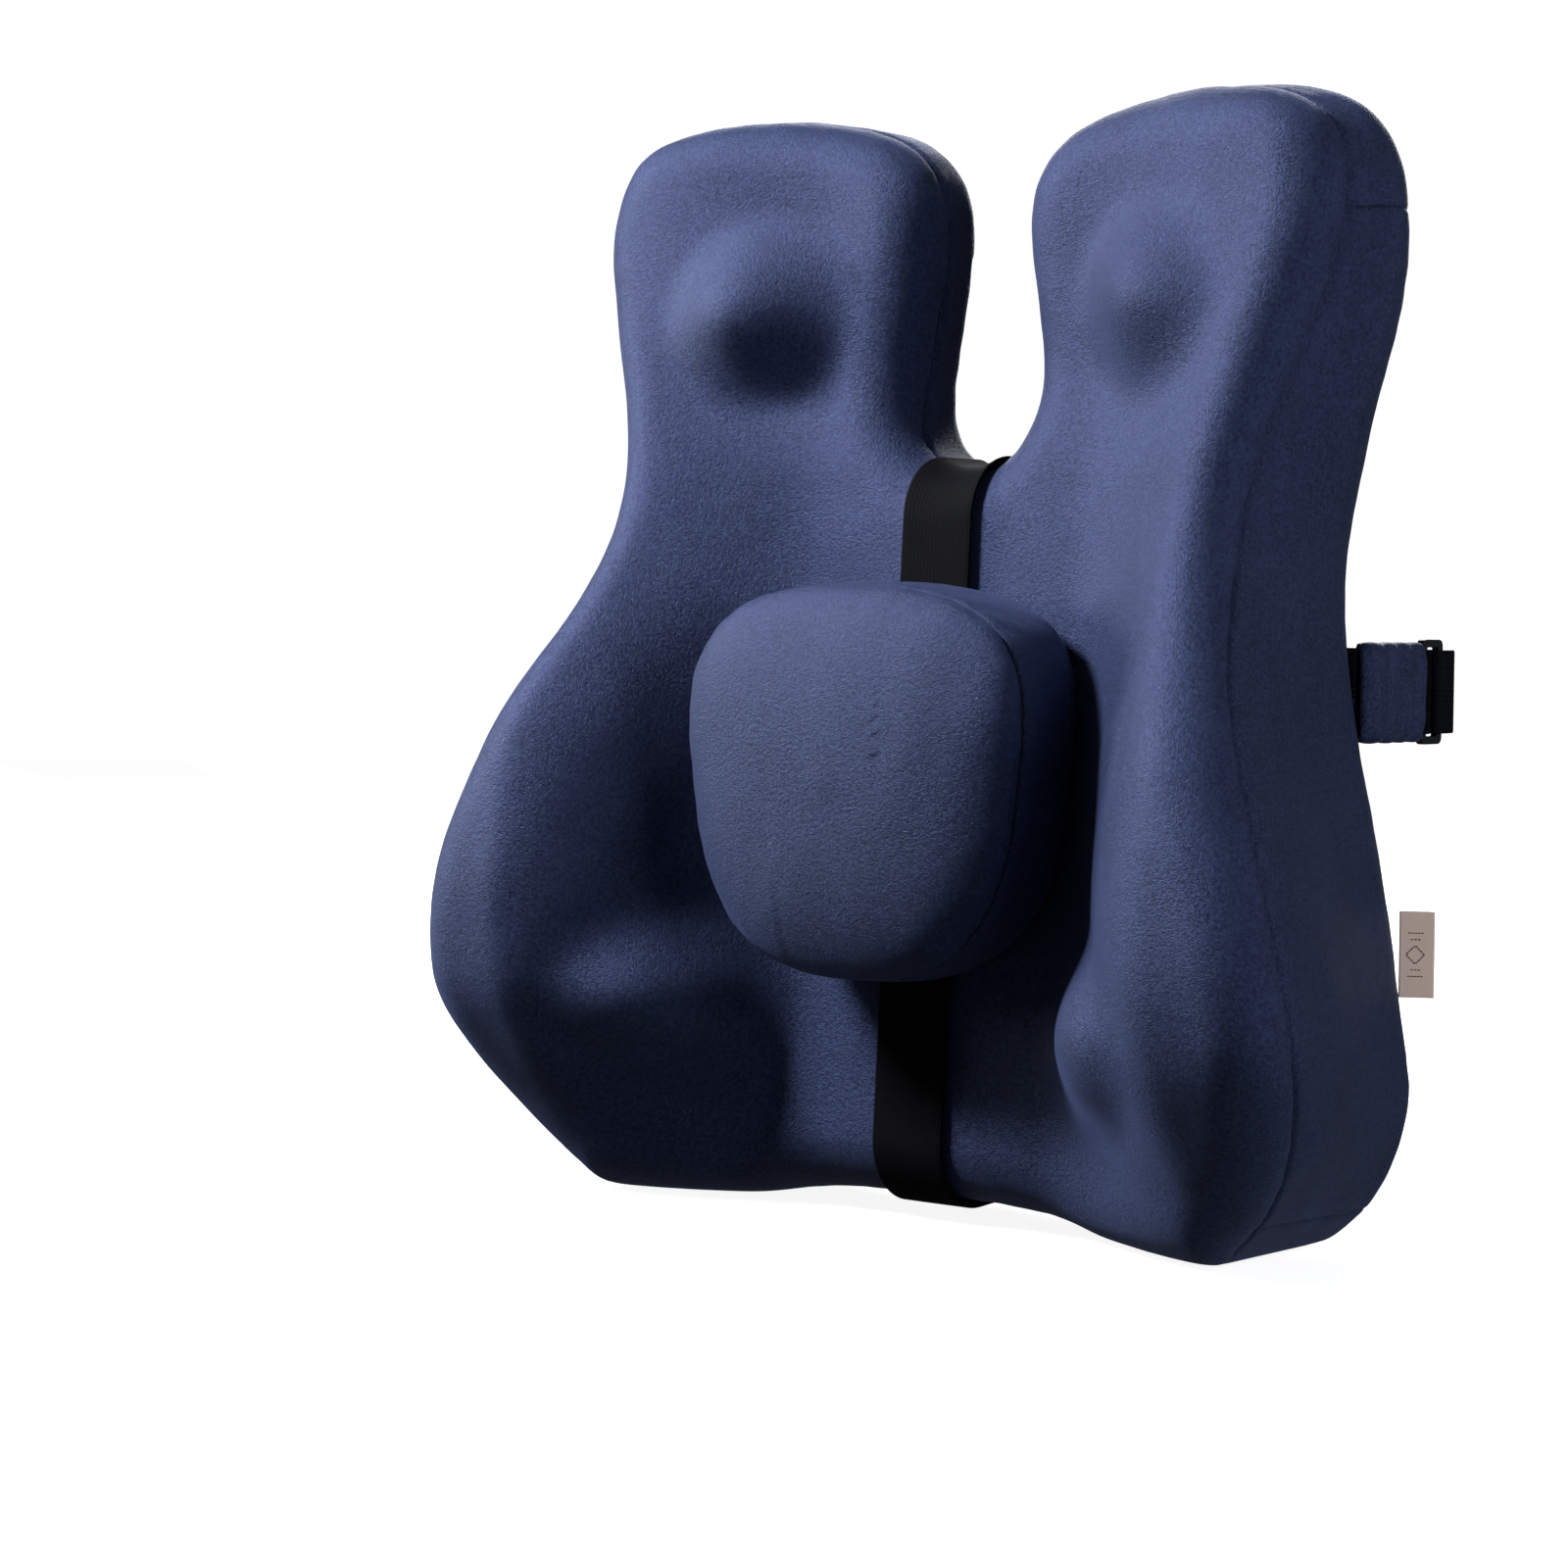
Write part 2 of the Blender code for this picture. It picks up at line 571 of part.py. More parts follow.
# ------------------------------------------------------------------ the pad on its elastic
def outline_height(x, top):
    """Height of the wall at a place near the middle: the notch's bottom or the base's arch."""
    wall, _ = outline_at(CURVE, CURVE_NORMAL, COLUMN_INDEX)
    middle = CURVE[len(CURVE) // 2 if top else 0]
    chosen = wall[np.hypot(*(wall - middle).T) < 45 * SX]
    order = np.argsort(chosen[:, 0])
    return np.interp(x, chosen[order, 0], chosen[order, 1])


def make_pad_strap(mats):
    """The elastic band: from the back seam in the notch, down the front, to the back seam at the base."""
    half = STRAP_WIDTH / 2
    clear, front_clear = 0.9, 0.5 + TUNNEL_T + 0.4
    columns = []
    for x in np.linspace(-half, half, 5):
        top, low = outline_height(x, True), outline_height(x, False)
        core = []
        z_top, z_low = top - FRONT_ROUND, low + FRONT_ROUND
        for a in np.radians((45, 22, 0)):
            core.append((-BACK_ROUND_LOW * (1 - math.sin(a)), top - BACK_ROUND_LOW * (1 - math.cos(a)), clear))
        for a in np.radians(np.arange(0, 91, 10)):
            d = front_depth(0.0, z_top, False)
            lift = clear + (front_clear - clear) * a / (math.pi / 2)
            core.append((-d + FRONT_ROUND * (1 - math.sin(a)), z_top + FRONT_ROUND * math.cos(a), lift))
        for a in np.radians(np.arange(90, -1, -10)):
            d = front_depth(0.0, z_low, False)
            lift = clear + (front_clear - clear) * a / (math.pi / 2)
            core.append((-d + FRONT_ROUND * (1 - math.sin(a)), z_low - FRONT_ROUND * math.cos(a), lift))
        for a in np.radians((0, 22, 45)):
            core.append((-BACK_ROUND_LOW * (1 - math.sin(a)), low + BACK_ROUND_LOW * (1 - math.cos(a)), clear))
        core = np.array(core)
        along = np.gradient(core[:, :2], axis=0)
        along /= np.linalg.norm(along, axis=1, keepdims=True)
        out = np.stack([along[:, 1], -along[:, 0]], 1)
        out = -out if out[len(out) // 2, 0] > 0 else out
        low_line = core[:, :2] + out * core[:, 2:3]
        high_line = low_line + out * STRAP_T
        columns.append([np.column_stack([np.full(len(line), x), line]) for line in (low_line, high_line)])
    rows = [c[0] for c in columns] + [c[1] for c in reversed(columns)]
    points, faces = loft_rows(rows)
    n, k = len(rows[0]), len(rows)
    # ends as strips across the band rather than one fan
    faces = faces[: k * (n - 1) * 2]
    for end in (0, n - 1):
        for j in range(k // 2 - 1):
            a, b, c, d = j, j + 1, k - 2 - j, k - 1 - j
            quad = [q * n + end for q in (a, b, c, d)]
            faces.append(tuple(quad if end else reversed(quad)))
    add_node("pad_strap", points, faces, mats["elastic"])


def pad_back_depth(x, z):
    """Where the pad's back face stands: clear of the front face at every height that the pad slides to."""
    x, z = np.asarray(x, float), np.asarray(z, float)
    slope = (MIDDLE_DEPTH_NOTCH - MIDDLE_DEPTH_BASE) / 283 / SZ * DEPTH_SCALE
    depth = np.full(x.shape, -1e9)
    for move in np.linspace(-PAD_SLIDE_DOWN, PAD_SLIDE_UP, 13):
        depth = np.maximum(depth, front_depth(x, z + move) - slope * move)
    plane = front_depth(0.0, 0.0, False) + slope * z
    lift = 0.5 + TUNNEL_T + 0.4 + STRAP_T + 0.4
    return np.maximum(plane + lift, depth + 0.8 + 2.8 * smooth(24, 42, np.abs(x)))


def pad_outline(angle, share):
    """A place on the pad's face: a rounded shield, a little wider above its middle."""
    c, s = np.cos(angle), np.sin(angle)
    power = 0.72 + 0.28 * (1 - np.minimum(share, 1.0)) ** 1.5
    cx, cz = np.sign(c) * np.abs(c) ** power, np.sign(s) * np.abs(s) ** power
    x = share * PAD_WIDTH / 2 * cx * (1 + 0.13 * cz * share)
    return x, PAD_CENTRE_Z * SZ + share * PAD_HEIGHT / 2 * cz


def make_pad(mats):
    around = 32
    angle = np.arange(around) / around * 2 * math.pi
    base = front_depth(0.0, PAD_CENTRE_Z * SZ, False) + 3.8
    rim = 0.66
    # (share of the outline, depth as a share of the pad's, True if measured from the back face)
    plan = [(0.40, 0, True), (0.72, 0, True), (0.93, 0, True), (0.985, 4.5, True), (0.99, 5.2, True),
            (1.0, rim, False), (0.998, rim + 0.012, False), (0.95, 0.79, False), (0.82, 0.895, False),
            (0.60, 0.962, False), (0.32, 0.99, False)]
    rings = []
    for share, level, from_back in plan:
        x, z = pad_outline(angle, share)
        back = pad_back_depth(x, z)
        proud = np.maximum(base + level * PAD_DEPTH, back + PAD_EDGE + (level - rim) * PAD_DEPTH)
        y = -(back + level) if from_back else -proud
        rings.append(np.stack([x, y, z], 1))
    centre = PAD_CENTRE_Z * SZ
    points = np.concatenate([*rings, [[0, -float(pad_back_depth(0.0, centre)), centre]],
                             [[0, -(base + PAD_DEPTH), centre]]])
    faces, band_of = [], []
    count = len(rings) * around
    for i in range(around):
        j = (i + 1) % around
        faces.append((i, j, count))
        band_of.append(0)
        for r in range(len(rings) - 1):
            a, b, c, d = r * around + i, r * around + j, (r + 1) * around + j, (r + 1) * around + i
            faces += [(a, d, c), (a, c, b)]
            band_of += [r + 1, r + 1]
        last = (len(rings) - 1) * around
        faces.append((last + j, last + i, count + 1))
        band_of.append(len(rings))
    faces, band_of = np.array(faces)[:, ::-1], np.array(band_of)
    normals = vertex_normals(points, faces)
    for ring in (3, 5):
        share_direction(normals, np.arange(ring * around, (ring + 1) * around),
                        np.arange((ring + 1) * around, (ring + 2) * around))
    a, b, c = (points[faces[:, k]] for k in range(3))
    if np.einsum("ij,ij->i", a, np.cross(b, c)).sum() < 0:
        faces, normals = faces[:, ::-1], -normals
    origin = (0.0, -(base), centre)
    inner = points - normals * COVER_T
    for name, low, high in (("pad_back_panel", 0, 3), ("pad_gusset", 5, 5), ("pad_front_panel", 7, 99)):
        chosen = faces[(band_of >= low) & (band_of <= high)]
        add_node(name, *shell(points, inner, chosen), mats["cover_pad"], origin)
    to = np.arange(len(points))
    for ring in (4, 6):
        to[ring * around:(ring + 1) * around] = to[(ring - 1) * around:ring * around]
    solid = to[faces]
    whole = (solid[:, 0] != solid[:, 1]) & (solid[:, 1] != solid[:, 2]) & (solid[:, 0] != solid[:, 2])
    add_node("pad_foam", *compact(points - normals * (COVER_T + LAYER_GAP), solid[whole]), mats["foam"], origin)
    # the tunnel: a fabric bridge behind the elastic, its two edges reaching the pad's back
    inner_x, outer_x, z0, z1 = STRAP_WIDTH / 2 + 1.0, STRAP_WIDTH / 2 + 8.0, centre - 34, centre + 34
    profile = [(-outer_x, 0.5), (outer_x, 0.5), (outer_x, 3.4), (inner_x, 3.4), (inner_x, 1.5),
               (-inner_x, 1.5), (-inner_x, 3.4), (-outer_x, 3.4)]
    rows = [np.array([(x, -(float(front_depth(0.0, z, False)) + d), z) for z in (z0, z1)]) for x, d in profile]
    points, faces = loft_fan(rows, [(0, 5, 6, 7), (0, 1, 4, 5), (1, 2, 3, 4)])
    add_node("pad_tunnel", points, faces, mats["elastic"], origin, round_shape=False)


# ------------------------------------------------------------------ the strap round the chair
def side_seam_point(z):
    """Where the back seam of the right side passes this height, in plan."""
    side = CURVE[:len(CURVE) // 2]
    outer = side[side[:, 0] > 100 * SX]
    order = np.argsort(outer[:, 1])
    edge = BACK_ROUND_SIDE * (1 - math.cos(math.pi / 4))
    return np.array([np.interp(z, outer[order, 1], outer[order, 0]) - edge, -edge])


def strap_line(sign):
    """The plan line of one side's strap: out of the seam, straight back, and round behind the back."""
    seam, out = side_seam_point(CHAIR_STRAP_Z * SZ), np.array([1.0, 1.0]) / math.sqrt(2)
    start = seam + out * 3.4
    x1 = seam[0] + 6.0
    straight_end, corner = CHAIR_STRAP_Y - FOLD_R - 9.0, 9.0
    t = np.linspace(0, 1, 14)[:, None]
    p = (start, start + out * 8, np.array([x1, 4.0]), np.array([x1, 16.0]))
    first = (1 - t) ** 3 * p[0] + 3 * t * (1 - t) ** 2 * p[1] + 3 * t**2 * (1 - t) * p[2] + t**3 * p[3]
    straight = np.column_stack([np.full(4, x1), np.linspace(16, straight_end, 5)[1:]])
    a = np.radians(np.arange(15, 91, 15))
    bend = np.column_stack([x1 - corner + corner * np.cos(a), straight_end + corner * np.sin(a)])
    line = np.vstack([first, straight, bend, [[x1 - corner - 30, straight_end + corner]]])
    return line * (sign, 1)


def run_of(line):
    return np.concatenate([[0], np.cumsum(np.linalg.norm(np.diff(line, axis=0), axis=1))])


def along_line(line, stations):
    """Points and directions at distances along a plan line."""
    run = run_of(line)
    stations = np.asarray(stations, float)
    at = np.stack([np.interp(stations, run, line[:, k]) for k in (0, 1)], 1)
    ahead = np.stack([np.interp(stations + 0.4, run, line[:, k]) for k in (0, 1)], 1)
    behind = np.stack([np.interp(stations - 0.4, run, line[:, k]) for k in (0, 1)], 1)
    way = ahead - behind
    return at, way / np.linalg.norm(way, axis=1, keepdims=True)


def fold(centre, way, side):
    """Half a turn round a bar, from the given side, for a strap that comes along the way."""
    way = np.asarray(way, float)
    across = np.array([-way[1], way[0]]) * side
    a = np.linspace(0, math.pi, 9)[:, None]
    return np.asarray(centre) + FOLD_R * (across * np.cos(a) + way * np.sin(a))


def frame_solid(name, mat, outline, holes, low, high, thin):
    """A moulded piece cut from a plate in the XZ plane, with boxes cut away from it."""
    made = add_node(name, *plate(outline, holes, low, high, axis=1), mat, round_shape=False)
    for k, (a, b) in enumerate(thin):
        cut(made, add_node(f"cutter_{k}", *box(a, b), mat, round_shape=False))
    return made


def rounded(x0, x1, z0, z1, r):
    """A rectangle with rounded corners, as a loop of places."""
    out = []
    corners = ((x1 - r, z0 + r, -90), (x1 - r, z1 - r, 0), (x0 + r, z1 - r, 90), (x0 + r, z0 + r, 180))
    for cx, cz, start in corners:
        out += [(cx + r * math.cos(math.radians(start + a)), cz + r * math.sin(math.radians(start + a)))
                for a in (0, 30, 60, 90)]
    return out


def make_chair_strap(mats):
    z = CHAIR_STRAP_Z * SZ
    half, t = CHAIR_WEB_WIDTH / 2, CHAIR_WEB_T
    low, high = z - half, z + half
    bar_near = SLEEVE_LENGTH + 6.5
    bar_far = bar_near + RING_LENGTH - 3.0
    run_y = CHAIR_STRAP_Y - FOLD_R
    for side, sign in (("right", 1), ("left", -1)):
        line = strap_line(sign)
        make_sleeve("sleeve_" + side, line, z, half, mats["cover_side"])
        if sign > 0:
            stations = np.concatenate([np.linspace(1.0, 32, 9), np.linspace(34.5, bar_near, 4)])
            at, way = along_line(line, stations)
            ease = FOLD_R * smooth(32, bar_near, stations)
            at = at + np.stack([-way[:, 1], way[:, 0]], 1) * ease[:, None]
            centre, way_bar = along_line(line, [bar_near])
            turn = fold(centre[0], way_bar[0], 1)
            back, way_back = along_line(line, [bar_near - 2, SLEEVE_LENGTH + 2])
            back = back + np.stack([way_back[:, 1], -way_back[:, 0]], 1) * FOLD_R
            add_node("elastic_right", *band(np.vstack([at[:-1], turn, back]), t, low, high), mats["elastic"])
        else:
            stations = np.concatenate([np.linspace(1.0, 50, 12), run_of(line)[18:]])
            at, _ = along_line(line, stations)
            bar = np.array([(BUCKLE_X - 40.0), CHAIR_STRAP_Y])
            turn = fold(bar, (1.0, 0.0), -1)
            tail = [(bar[0] - 4, CHAIR_STRAP_Y + FOLD_R), (bar[0] - 14, CHAIR_STRAP_Y + FOLD_R)]
            add_node("elastic_left", *band(np.vstack([at, turn, tail]), t, low, high), mats["elastic"])
    make_ring(strap_line(1), bar_near, bar_far, z, half, mats["plastic"])
    # webbing: folded round the ring, round the corner, along the back, into its own doubled end
    line = strap_line(1)
    centre, way = along_line(line, [bar_far])
    tail, way_t = along_line(line, [bar_far + 7, bar_far + 3])
    tail = tail + np.stack([way_t[:, 1], -way_t[:, 0]], 1) * FOLD_R
    turn = fold(centre[0], -way[0], 1)
    stations = np.concatenate([[bar_far + 2.5, bar_far + 5], run_of(line)[run_of(line) > bar_far + 6]])
    at, way = along_line(line, stations)
    ease = FOLD_R * (1 - smooth(bar_far, bar_far + 22, stations))
    at = at + np.stack([-way[:, 1], way[:, 0]], 1) * ease[:, None]
    plug_bar = BUCKLE_X + 18.5
    inner_y = run_y + t + 0.4
    end = [(at[-1][0] - 20, run_y), (plug_bar + 106, run_y), (plug_bar + 92, inner_y), (plug_bar + 38, inner_y)]
    add_node("chair_webbing", *band(np.vstack([tail, turn, at, end]), t, low, high), mats["webbing"])
    bar = (plug_bar, CHAIR_STRAP_Y)
    loop = [(plug_bar + 50 - 10 * k, run_y) for k in range(5)]
    back = [(plug_bar + 10 * k, CHAIR_STRAP_Y + FOLD_R) for k in range(1, 6)]
    turn = fold(bar, (-1.0, 0.0), 1)
    origin = (BUCKLE_X, CHAIR_STRAP_Y, z)
    add_node("webbing_loop", *band(np.vstack([loop, turn, back]), t, low, high), mats["webbing"], origin)
    make_buckle(z, half, mats["plastic"])


def make_sleeve(name, line, z, half, mat):
    """The gathered fabric sleeve: a flattened tube, open at both ends, over the elastic."""
    at, way = along_line(line, np.linspace(0.0, SLEEVE_LENGTH, 9))
    across = np.stack([-way[:, 1], way[:, 0]], 1)
    n, k = len(at), 12
    rings = []
    for thick, tall in ((5.2, half + 2.9), (4.2, half + 1.9)):
        for a in np.arange(k) * 2 * math.pi / k + math.pi / k:
            c, s = math.cos(a), math.sin(a)
            u, v = thick * math.copysign(abs(c) ** 0.6, c), tall * math.copysign(abs(s) ** 0.45, s)
            rings.append(np.column_stack([at + across * u, np.full(n, z + v)]))
    points, faces = np.concatenate(rings), []
    for r in range(k):
        s = (r + 1) % k
        for i in range(n - 1):
            a, b, c, d = r * n + i, r * n + i + 1, s * n + i + 1, s * n + i
            faces += [(a, b, c), (a, c, d)]
            a, b, c, d = (q + k * n for q in (a, b, c, d))
            faces += [(a, c, b), (a, d, c)]
        for end, turned in ((0, False), (n - 1, True)):
            quad = [r * n + end, s * n + end, (k + s) * n + end, (k + r) * n + end]
            quad = quad[::-1] if turned else quad
            faces += [tuple(quad[:3]), (quad[0], quad[2], quad[3])]
    add_node(name, points, faces, mat)


def make_ring(line, bar_near, bar_far, z, half, mat):
    """The rectangular ring: two bars joined by two short sides, upright like the strap."""
    (near, far), _ = along_line(line, [bar_near, bar_far])
    middle = (near + far) / 2
    hz, hl, bar = half + 4.0, RING_LENGTH / 2, 3.0
    outline = rounded(middle[1] - hl, middle[1] + hl, z - hz, z + hz, 2.5)
    window = rounded(middle[1] - hl + bar, middle[1] + hl - bar, z - hz + 3, z + hz - 3, 0.6)
    add_node("strap_ring", *plate(outline, (window,), middle[0] - 1.6, middle[0] + 1.6, axis=0), mat,
             round_shape=False)


def make_buckle(z, half, mat):
    """Side-release buckle: a socket on the left strap, a plug that slides out of it along +X."""
    x, y, hy, hz = BUCKLE_X, CHAIR_STRAP_Y, BUCKLE_THICK / 2, half + 5.5
    origin = (x, y, z)
    bar = x - 40.0
    outline = rounded(bar - 2.0, x - 0.2, z - hz, z + hz, 4.0)
    slot = rounded(bar + 1.5, bar + 10.0, z - half - 1.2, z + half + 1.2, 0.6)
    reach = half + 1.2
    thin = [((bar - 3, y + s * 1.6, z - reach), (bar + 1.6, y + s * 9, z + reach)) for s in (-1, 1)]
    thin = [tuple(map(tuple, np.sort(np.array(pair), axis=0))) for pair in thin]
    thin.append(((x - 25, y - 3.6, z - 18), (x + 3, y + 3.6, z + 18)))
    for s in (-1, 1):
        ends = np.array(((x - 20, y - 3.6, z + s * 15), (x - 10, y + 3.6, z + s * 30)))
        thin.append(tuple(map(tuple, np.sort(ends, axis=0))))
    frame_solid("buckle_socket", mat, outline, (slot,), y - hy, y + hy, thin)

    bar = x + 18.5
    outline = rounded(x + 0.2, bar + 2.0, z - hz, z + hz, 3.0)
    slot = rounded(x + 8.5, bar - 1.5, z - half - 1.2, z + half + 1.2, 0.6)
    thin = [((bar - 1.6, y + s * 1.6, z - reach), (bar + 3, y + s * 9, z + reach)) for s in (-1, 1)]
    thin = [tuple(map(tuple, np.sort(np.array(pair), axis=0))) for pair in thin]
    plug = frame_solid("buckle_plug", mat, outline, (slot,), y - hy, y + hy, thin)
    for s in (-1, 1):
        arm = [(x + 3, z + s * 10), (x - 22, z + s * 12.5), (x - 23.5, z + s * 14), (x - 22, z + s * 15.5),
               (x - 17, z + s * 17.3), (x - 12, z + s * 17.3), (x - 11.5, z + s * 14.2), (x + 3, z + s * 14)]
        arm = arm if s < 0 else arm[::-1]
        unite(plug, add_node("arm_shape", *plate(arm, (), y - 3.1, y + 3.1, axis=1), mat, round_shape=False))
    tongue = rounded(x - 17, x + 3, z - 3.2, z + 3.2, 1.5)
    unite(plug, add_node("tongue_shape", *plate(tongue, (), y - 2.2, y + 2.2, axis=1), mat, round_shape=False))
    keep_origin(plug, origin)


def keep_origin(made, origin):
    """Moves a node's origin to a place in mm without moving its shape."""
    target = (np.array(origin) + (0.0, BACK_PLANE_Y, 0.0)) * MM
    shift = target - np.array(made.location)
    count = len(made.data.vertices)
    points = np.empty(count * 3)
    made.data.vertices.foreach_get("co", points)
    made.data.vertices.foreach_set("co", (points.reshape(-1, 3) - shift).ravel())
    made.data.update()
    made.location = target.tolist()


def make_label(mats):
    """Folded fabric label held in the back seam on the right side."""
    z = 111.0 * SZ
    start = side_seam_point(z)
    way = np.array([1.0, 0.55]) / np.hypot(1.0, 0.55)
    path = np.array([start + way * d for d in (2.5, 8.0, 15.5)])
    add_node("label", *band(path, 0.8, z - 16, z + 16), mats["label"], round_shape=False)


def main():
    for old in list(bpy.data.objects):
        bpy.data.objects.remove(old)
    mats = {
        "cover": material("navy_velvet_front", (0.045, 0.058, 0.125), 0.85),
        "cover_side": material("navy_velvet_side", (0.036, 0.046, 0.10), 0.85),
        "cover_back": material("navy_velvet_back", (0.034, 0.043, 0.095), 0.85),
        "cover_pad": material("navy_velvet_pad", (0.04, 0.052, 0.115), 0.85),
        "liner": material("white_liner", (0.75, 0.75, 0.73), 0.9),
        "foam": material("memory_foam", (0.78, 0.73, 0.55), 0.95),
        "tape": material("zip_tape_navy", (0.02, 0.026, 0.06), 0.8),
        "metal": material("dark_metal", (0.05, 0.05, 0.055), 0.35, 1.0),
        "pull": material("black_pull", (0.01, 0.01, 0.012), 0.45),
        "elastic": material("black_elastic", (0.008, 0.008, 0.012), 0.8),
        "webbing": material("black_webbing", (0.01, 0.01, 0.012), 0.75),
        "plastic": material("black_plastic", (0.012, 0.012, 0.014), 0.4),
        "label": material("beige_label", (0.6, 0.4, 0.29), 0.85),
    }
    make_cushion(mats)
    make_zip(mats)
    make_pad_strap(mats)
    make_pad(mats)
    make_chair_strap(mats)
    make_label(mats)


main()
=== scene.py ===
"""Looks of a lumbar support cushion: velvet cover over foam, sliding pad, back zip and chair strap.

Shapes are worked out in millimetres in a local frame whose flat back lies at y = 0, with -y
towards the sitter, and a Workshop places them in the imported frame, in metres.
"""

import json
import logging
import math
from abc import ABC, abstractmethod
from dataclasses import dataclass
from enum import Enum
from typing import Any

import bmesh
import bpy
import numpy as np
from mathutils import Matrix, Vector
from mathutils.geometry import delaunay_2d_cdt

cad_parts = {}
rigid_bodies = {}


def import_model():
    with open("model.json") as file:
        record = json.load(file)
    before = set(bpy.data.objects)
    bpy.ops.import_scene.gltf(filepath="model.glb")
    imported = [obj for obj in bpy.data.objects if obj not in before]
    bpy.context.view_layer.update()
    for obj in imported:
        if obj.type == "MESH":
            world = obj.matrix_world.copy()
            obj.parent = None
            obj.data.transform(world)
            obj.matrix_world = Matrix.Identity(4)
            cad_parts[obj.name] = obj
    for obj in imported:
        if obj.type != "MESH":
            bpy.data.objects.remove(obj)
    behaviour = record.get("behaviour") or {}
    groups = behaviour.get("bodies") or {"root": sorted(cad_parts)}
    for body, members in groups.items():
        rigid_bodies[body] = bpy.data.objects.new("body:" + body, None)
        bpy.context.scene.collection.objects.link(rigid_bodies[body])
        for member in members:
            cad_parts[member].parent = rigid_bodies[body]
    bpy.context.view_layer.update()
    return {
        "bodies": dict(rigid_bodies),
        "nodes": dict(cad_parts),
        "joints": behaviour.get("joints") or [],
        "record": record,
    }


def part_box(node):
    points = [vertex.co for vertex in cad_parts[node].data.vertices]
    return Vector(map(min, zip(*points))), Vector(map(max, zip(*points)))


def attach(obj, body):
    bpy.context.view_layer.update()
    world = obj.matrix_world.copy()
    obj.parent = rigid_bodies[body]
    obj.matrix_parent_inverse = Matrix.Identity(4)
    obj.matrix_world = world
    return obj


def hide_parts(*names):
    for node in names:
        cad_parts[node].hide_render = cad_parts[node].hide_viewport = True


LOG = logging.getLogger("cushion")
Array = np.ndarray
MM = 0.001
TAU = 2 * math.pi
SEAM_STEPS = np.array([0.06, 0.5, 1.0, 1.8, 3.0, 5.0])   # distances from a seam that get a row, mm
FAR = 60.0      # distance to a seam that counts as none near, mm


class Body(Enum):
    """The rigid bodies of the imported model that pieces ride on."""

    CUSHION = "cushion"
    PAD = "pad"
    SLIDER = "zip_slider_body"
    PULL = "zip_pull_body"
    PLUG = "buckle_plug_body"


class Zone(Enum):
    """Where on a padded form a face lies."""

    FRONT = 0
    SEAM = 1
    WALL = 2
    BACK = 3
    SLOT = 4


# ---------------------------------------------------------------- numbers and curves
def smooth(a: float, b: float, x: Array) -> Array:
    """An S-curve: 0 at a, 1 at b, 3t^2 - 2t^3 between, level outside."""
    t = np.clip((np.asarray(x, float) - a) / (b - a), 0.0, 1.0)
    return t * t * (3 - 2 * t)


def smooth_table(x: Array, knots: tuple[float, ...], values: tuple[float, ...]) -> Array:
    """A smooth curve through a table: cubic pieces whose slopes are the mean of their neighbours'.

    Args:
        x: where the curve is wanted.
        knots: the table's places, rising.
        values: the table's values.

    Returns:
        The curve's values, level outside the table.
    """
    at, to = np.asarray(knots, float), np.asarray(values, float)
    slopes = np.gradient(to, at)
    slopes[0] = slopes[-1] = 0.0
    x = np.clip(np.asarray(x, float), at[0], at[-1])
    k = np.clip(np.searchsorted(at, x, side="right") - 1, 0, len(at) - 2)
    wide = at[k + 1] - at[k]
    t = (x - at[k]) / wide
    return ((2 * t**3 - 3 * t**2 + 1) * to[k] + (t**3 - 2 * t**2 + t) * wide * slopes[k]
            + (3 * t**2 - 2 * t**3) * to[k + 1] + (t**3 - t**2) * wide * slopes[k + 1])


def run_of(line: Array) -> Array:
    """Distance along a line of points at each point, starting at 0."""
    return np.concatenate([[0.0], np.cumsum(np.linalg.norm(np.diff(line, axis=0), axis=1))])


def resample(line: Array, step: float) -> Array:
    """The line again with evenly spaced points, after its corners are rounded by averaging.

    Args:
        line: points of an open line.
        step: spacing wanted, mm.

    Returns:
        Points a step apart from the first point to the last.
    """
    run = run_of(line)
    fine = np.linspace(0, run[-1], max(8, int(run[-1] / (step / 4))))
    dense = np.stack([np.interp(fine, run, line[:, k]) for k in range(line.shape[1])], 1)
    padded = np.vstack([dense[:1]] * 3 + [dense] + [dense[-1:]] * 3)
    soft = sum(padded[k:k + len(dense)] for k in range(7)) / 7
    soft[0], soft[-1] = dense[0], dense[-1]
    run = run_of(soft)
    at = np.linspace(0, run[-1], max(4, int(run[-1] / step) + 1))
    return np.stack([np.interp(at, run, soft[:, k]) for k in range(line.shape[1])], 1)


def inside(points: Array, loop: Array) -> Array:
    """Tells which points lie in a closed loop: a ray to the right crosses it an odd number of times.

    Args:
        points: places, (n, 2).
        loop: the closed outline, (m, 2).

    Returns:
        True for each point inside.
    """
    x, z = points[:, :1], points[:, 1:2]
    ax, az = loop[:, 0], loop[:, 1]
    bx, bz = np.roll(ax, -1), np.roll(az, -1)
    rise = np.where(bz == az, 1e-12, bz - az)
    crosses = ((az > z) != (bz > z)) & (x < (bx - ax) * (z - az) / rise + ax)
    return crosses.sum(1) % 2 == 1


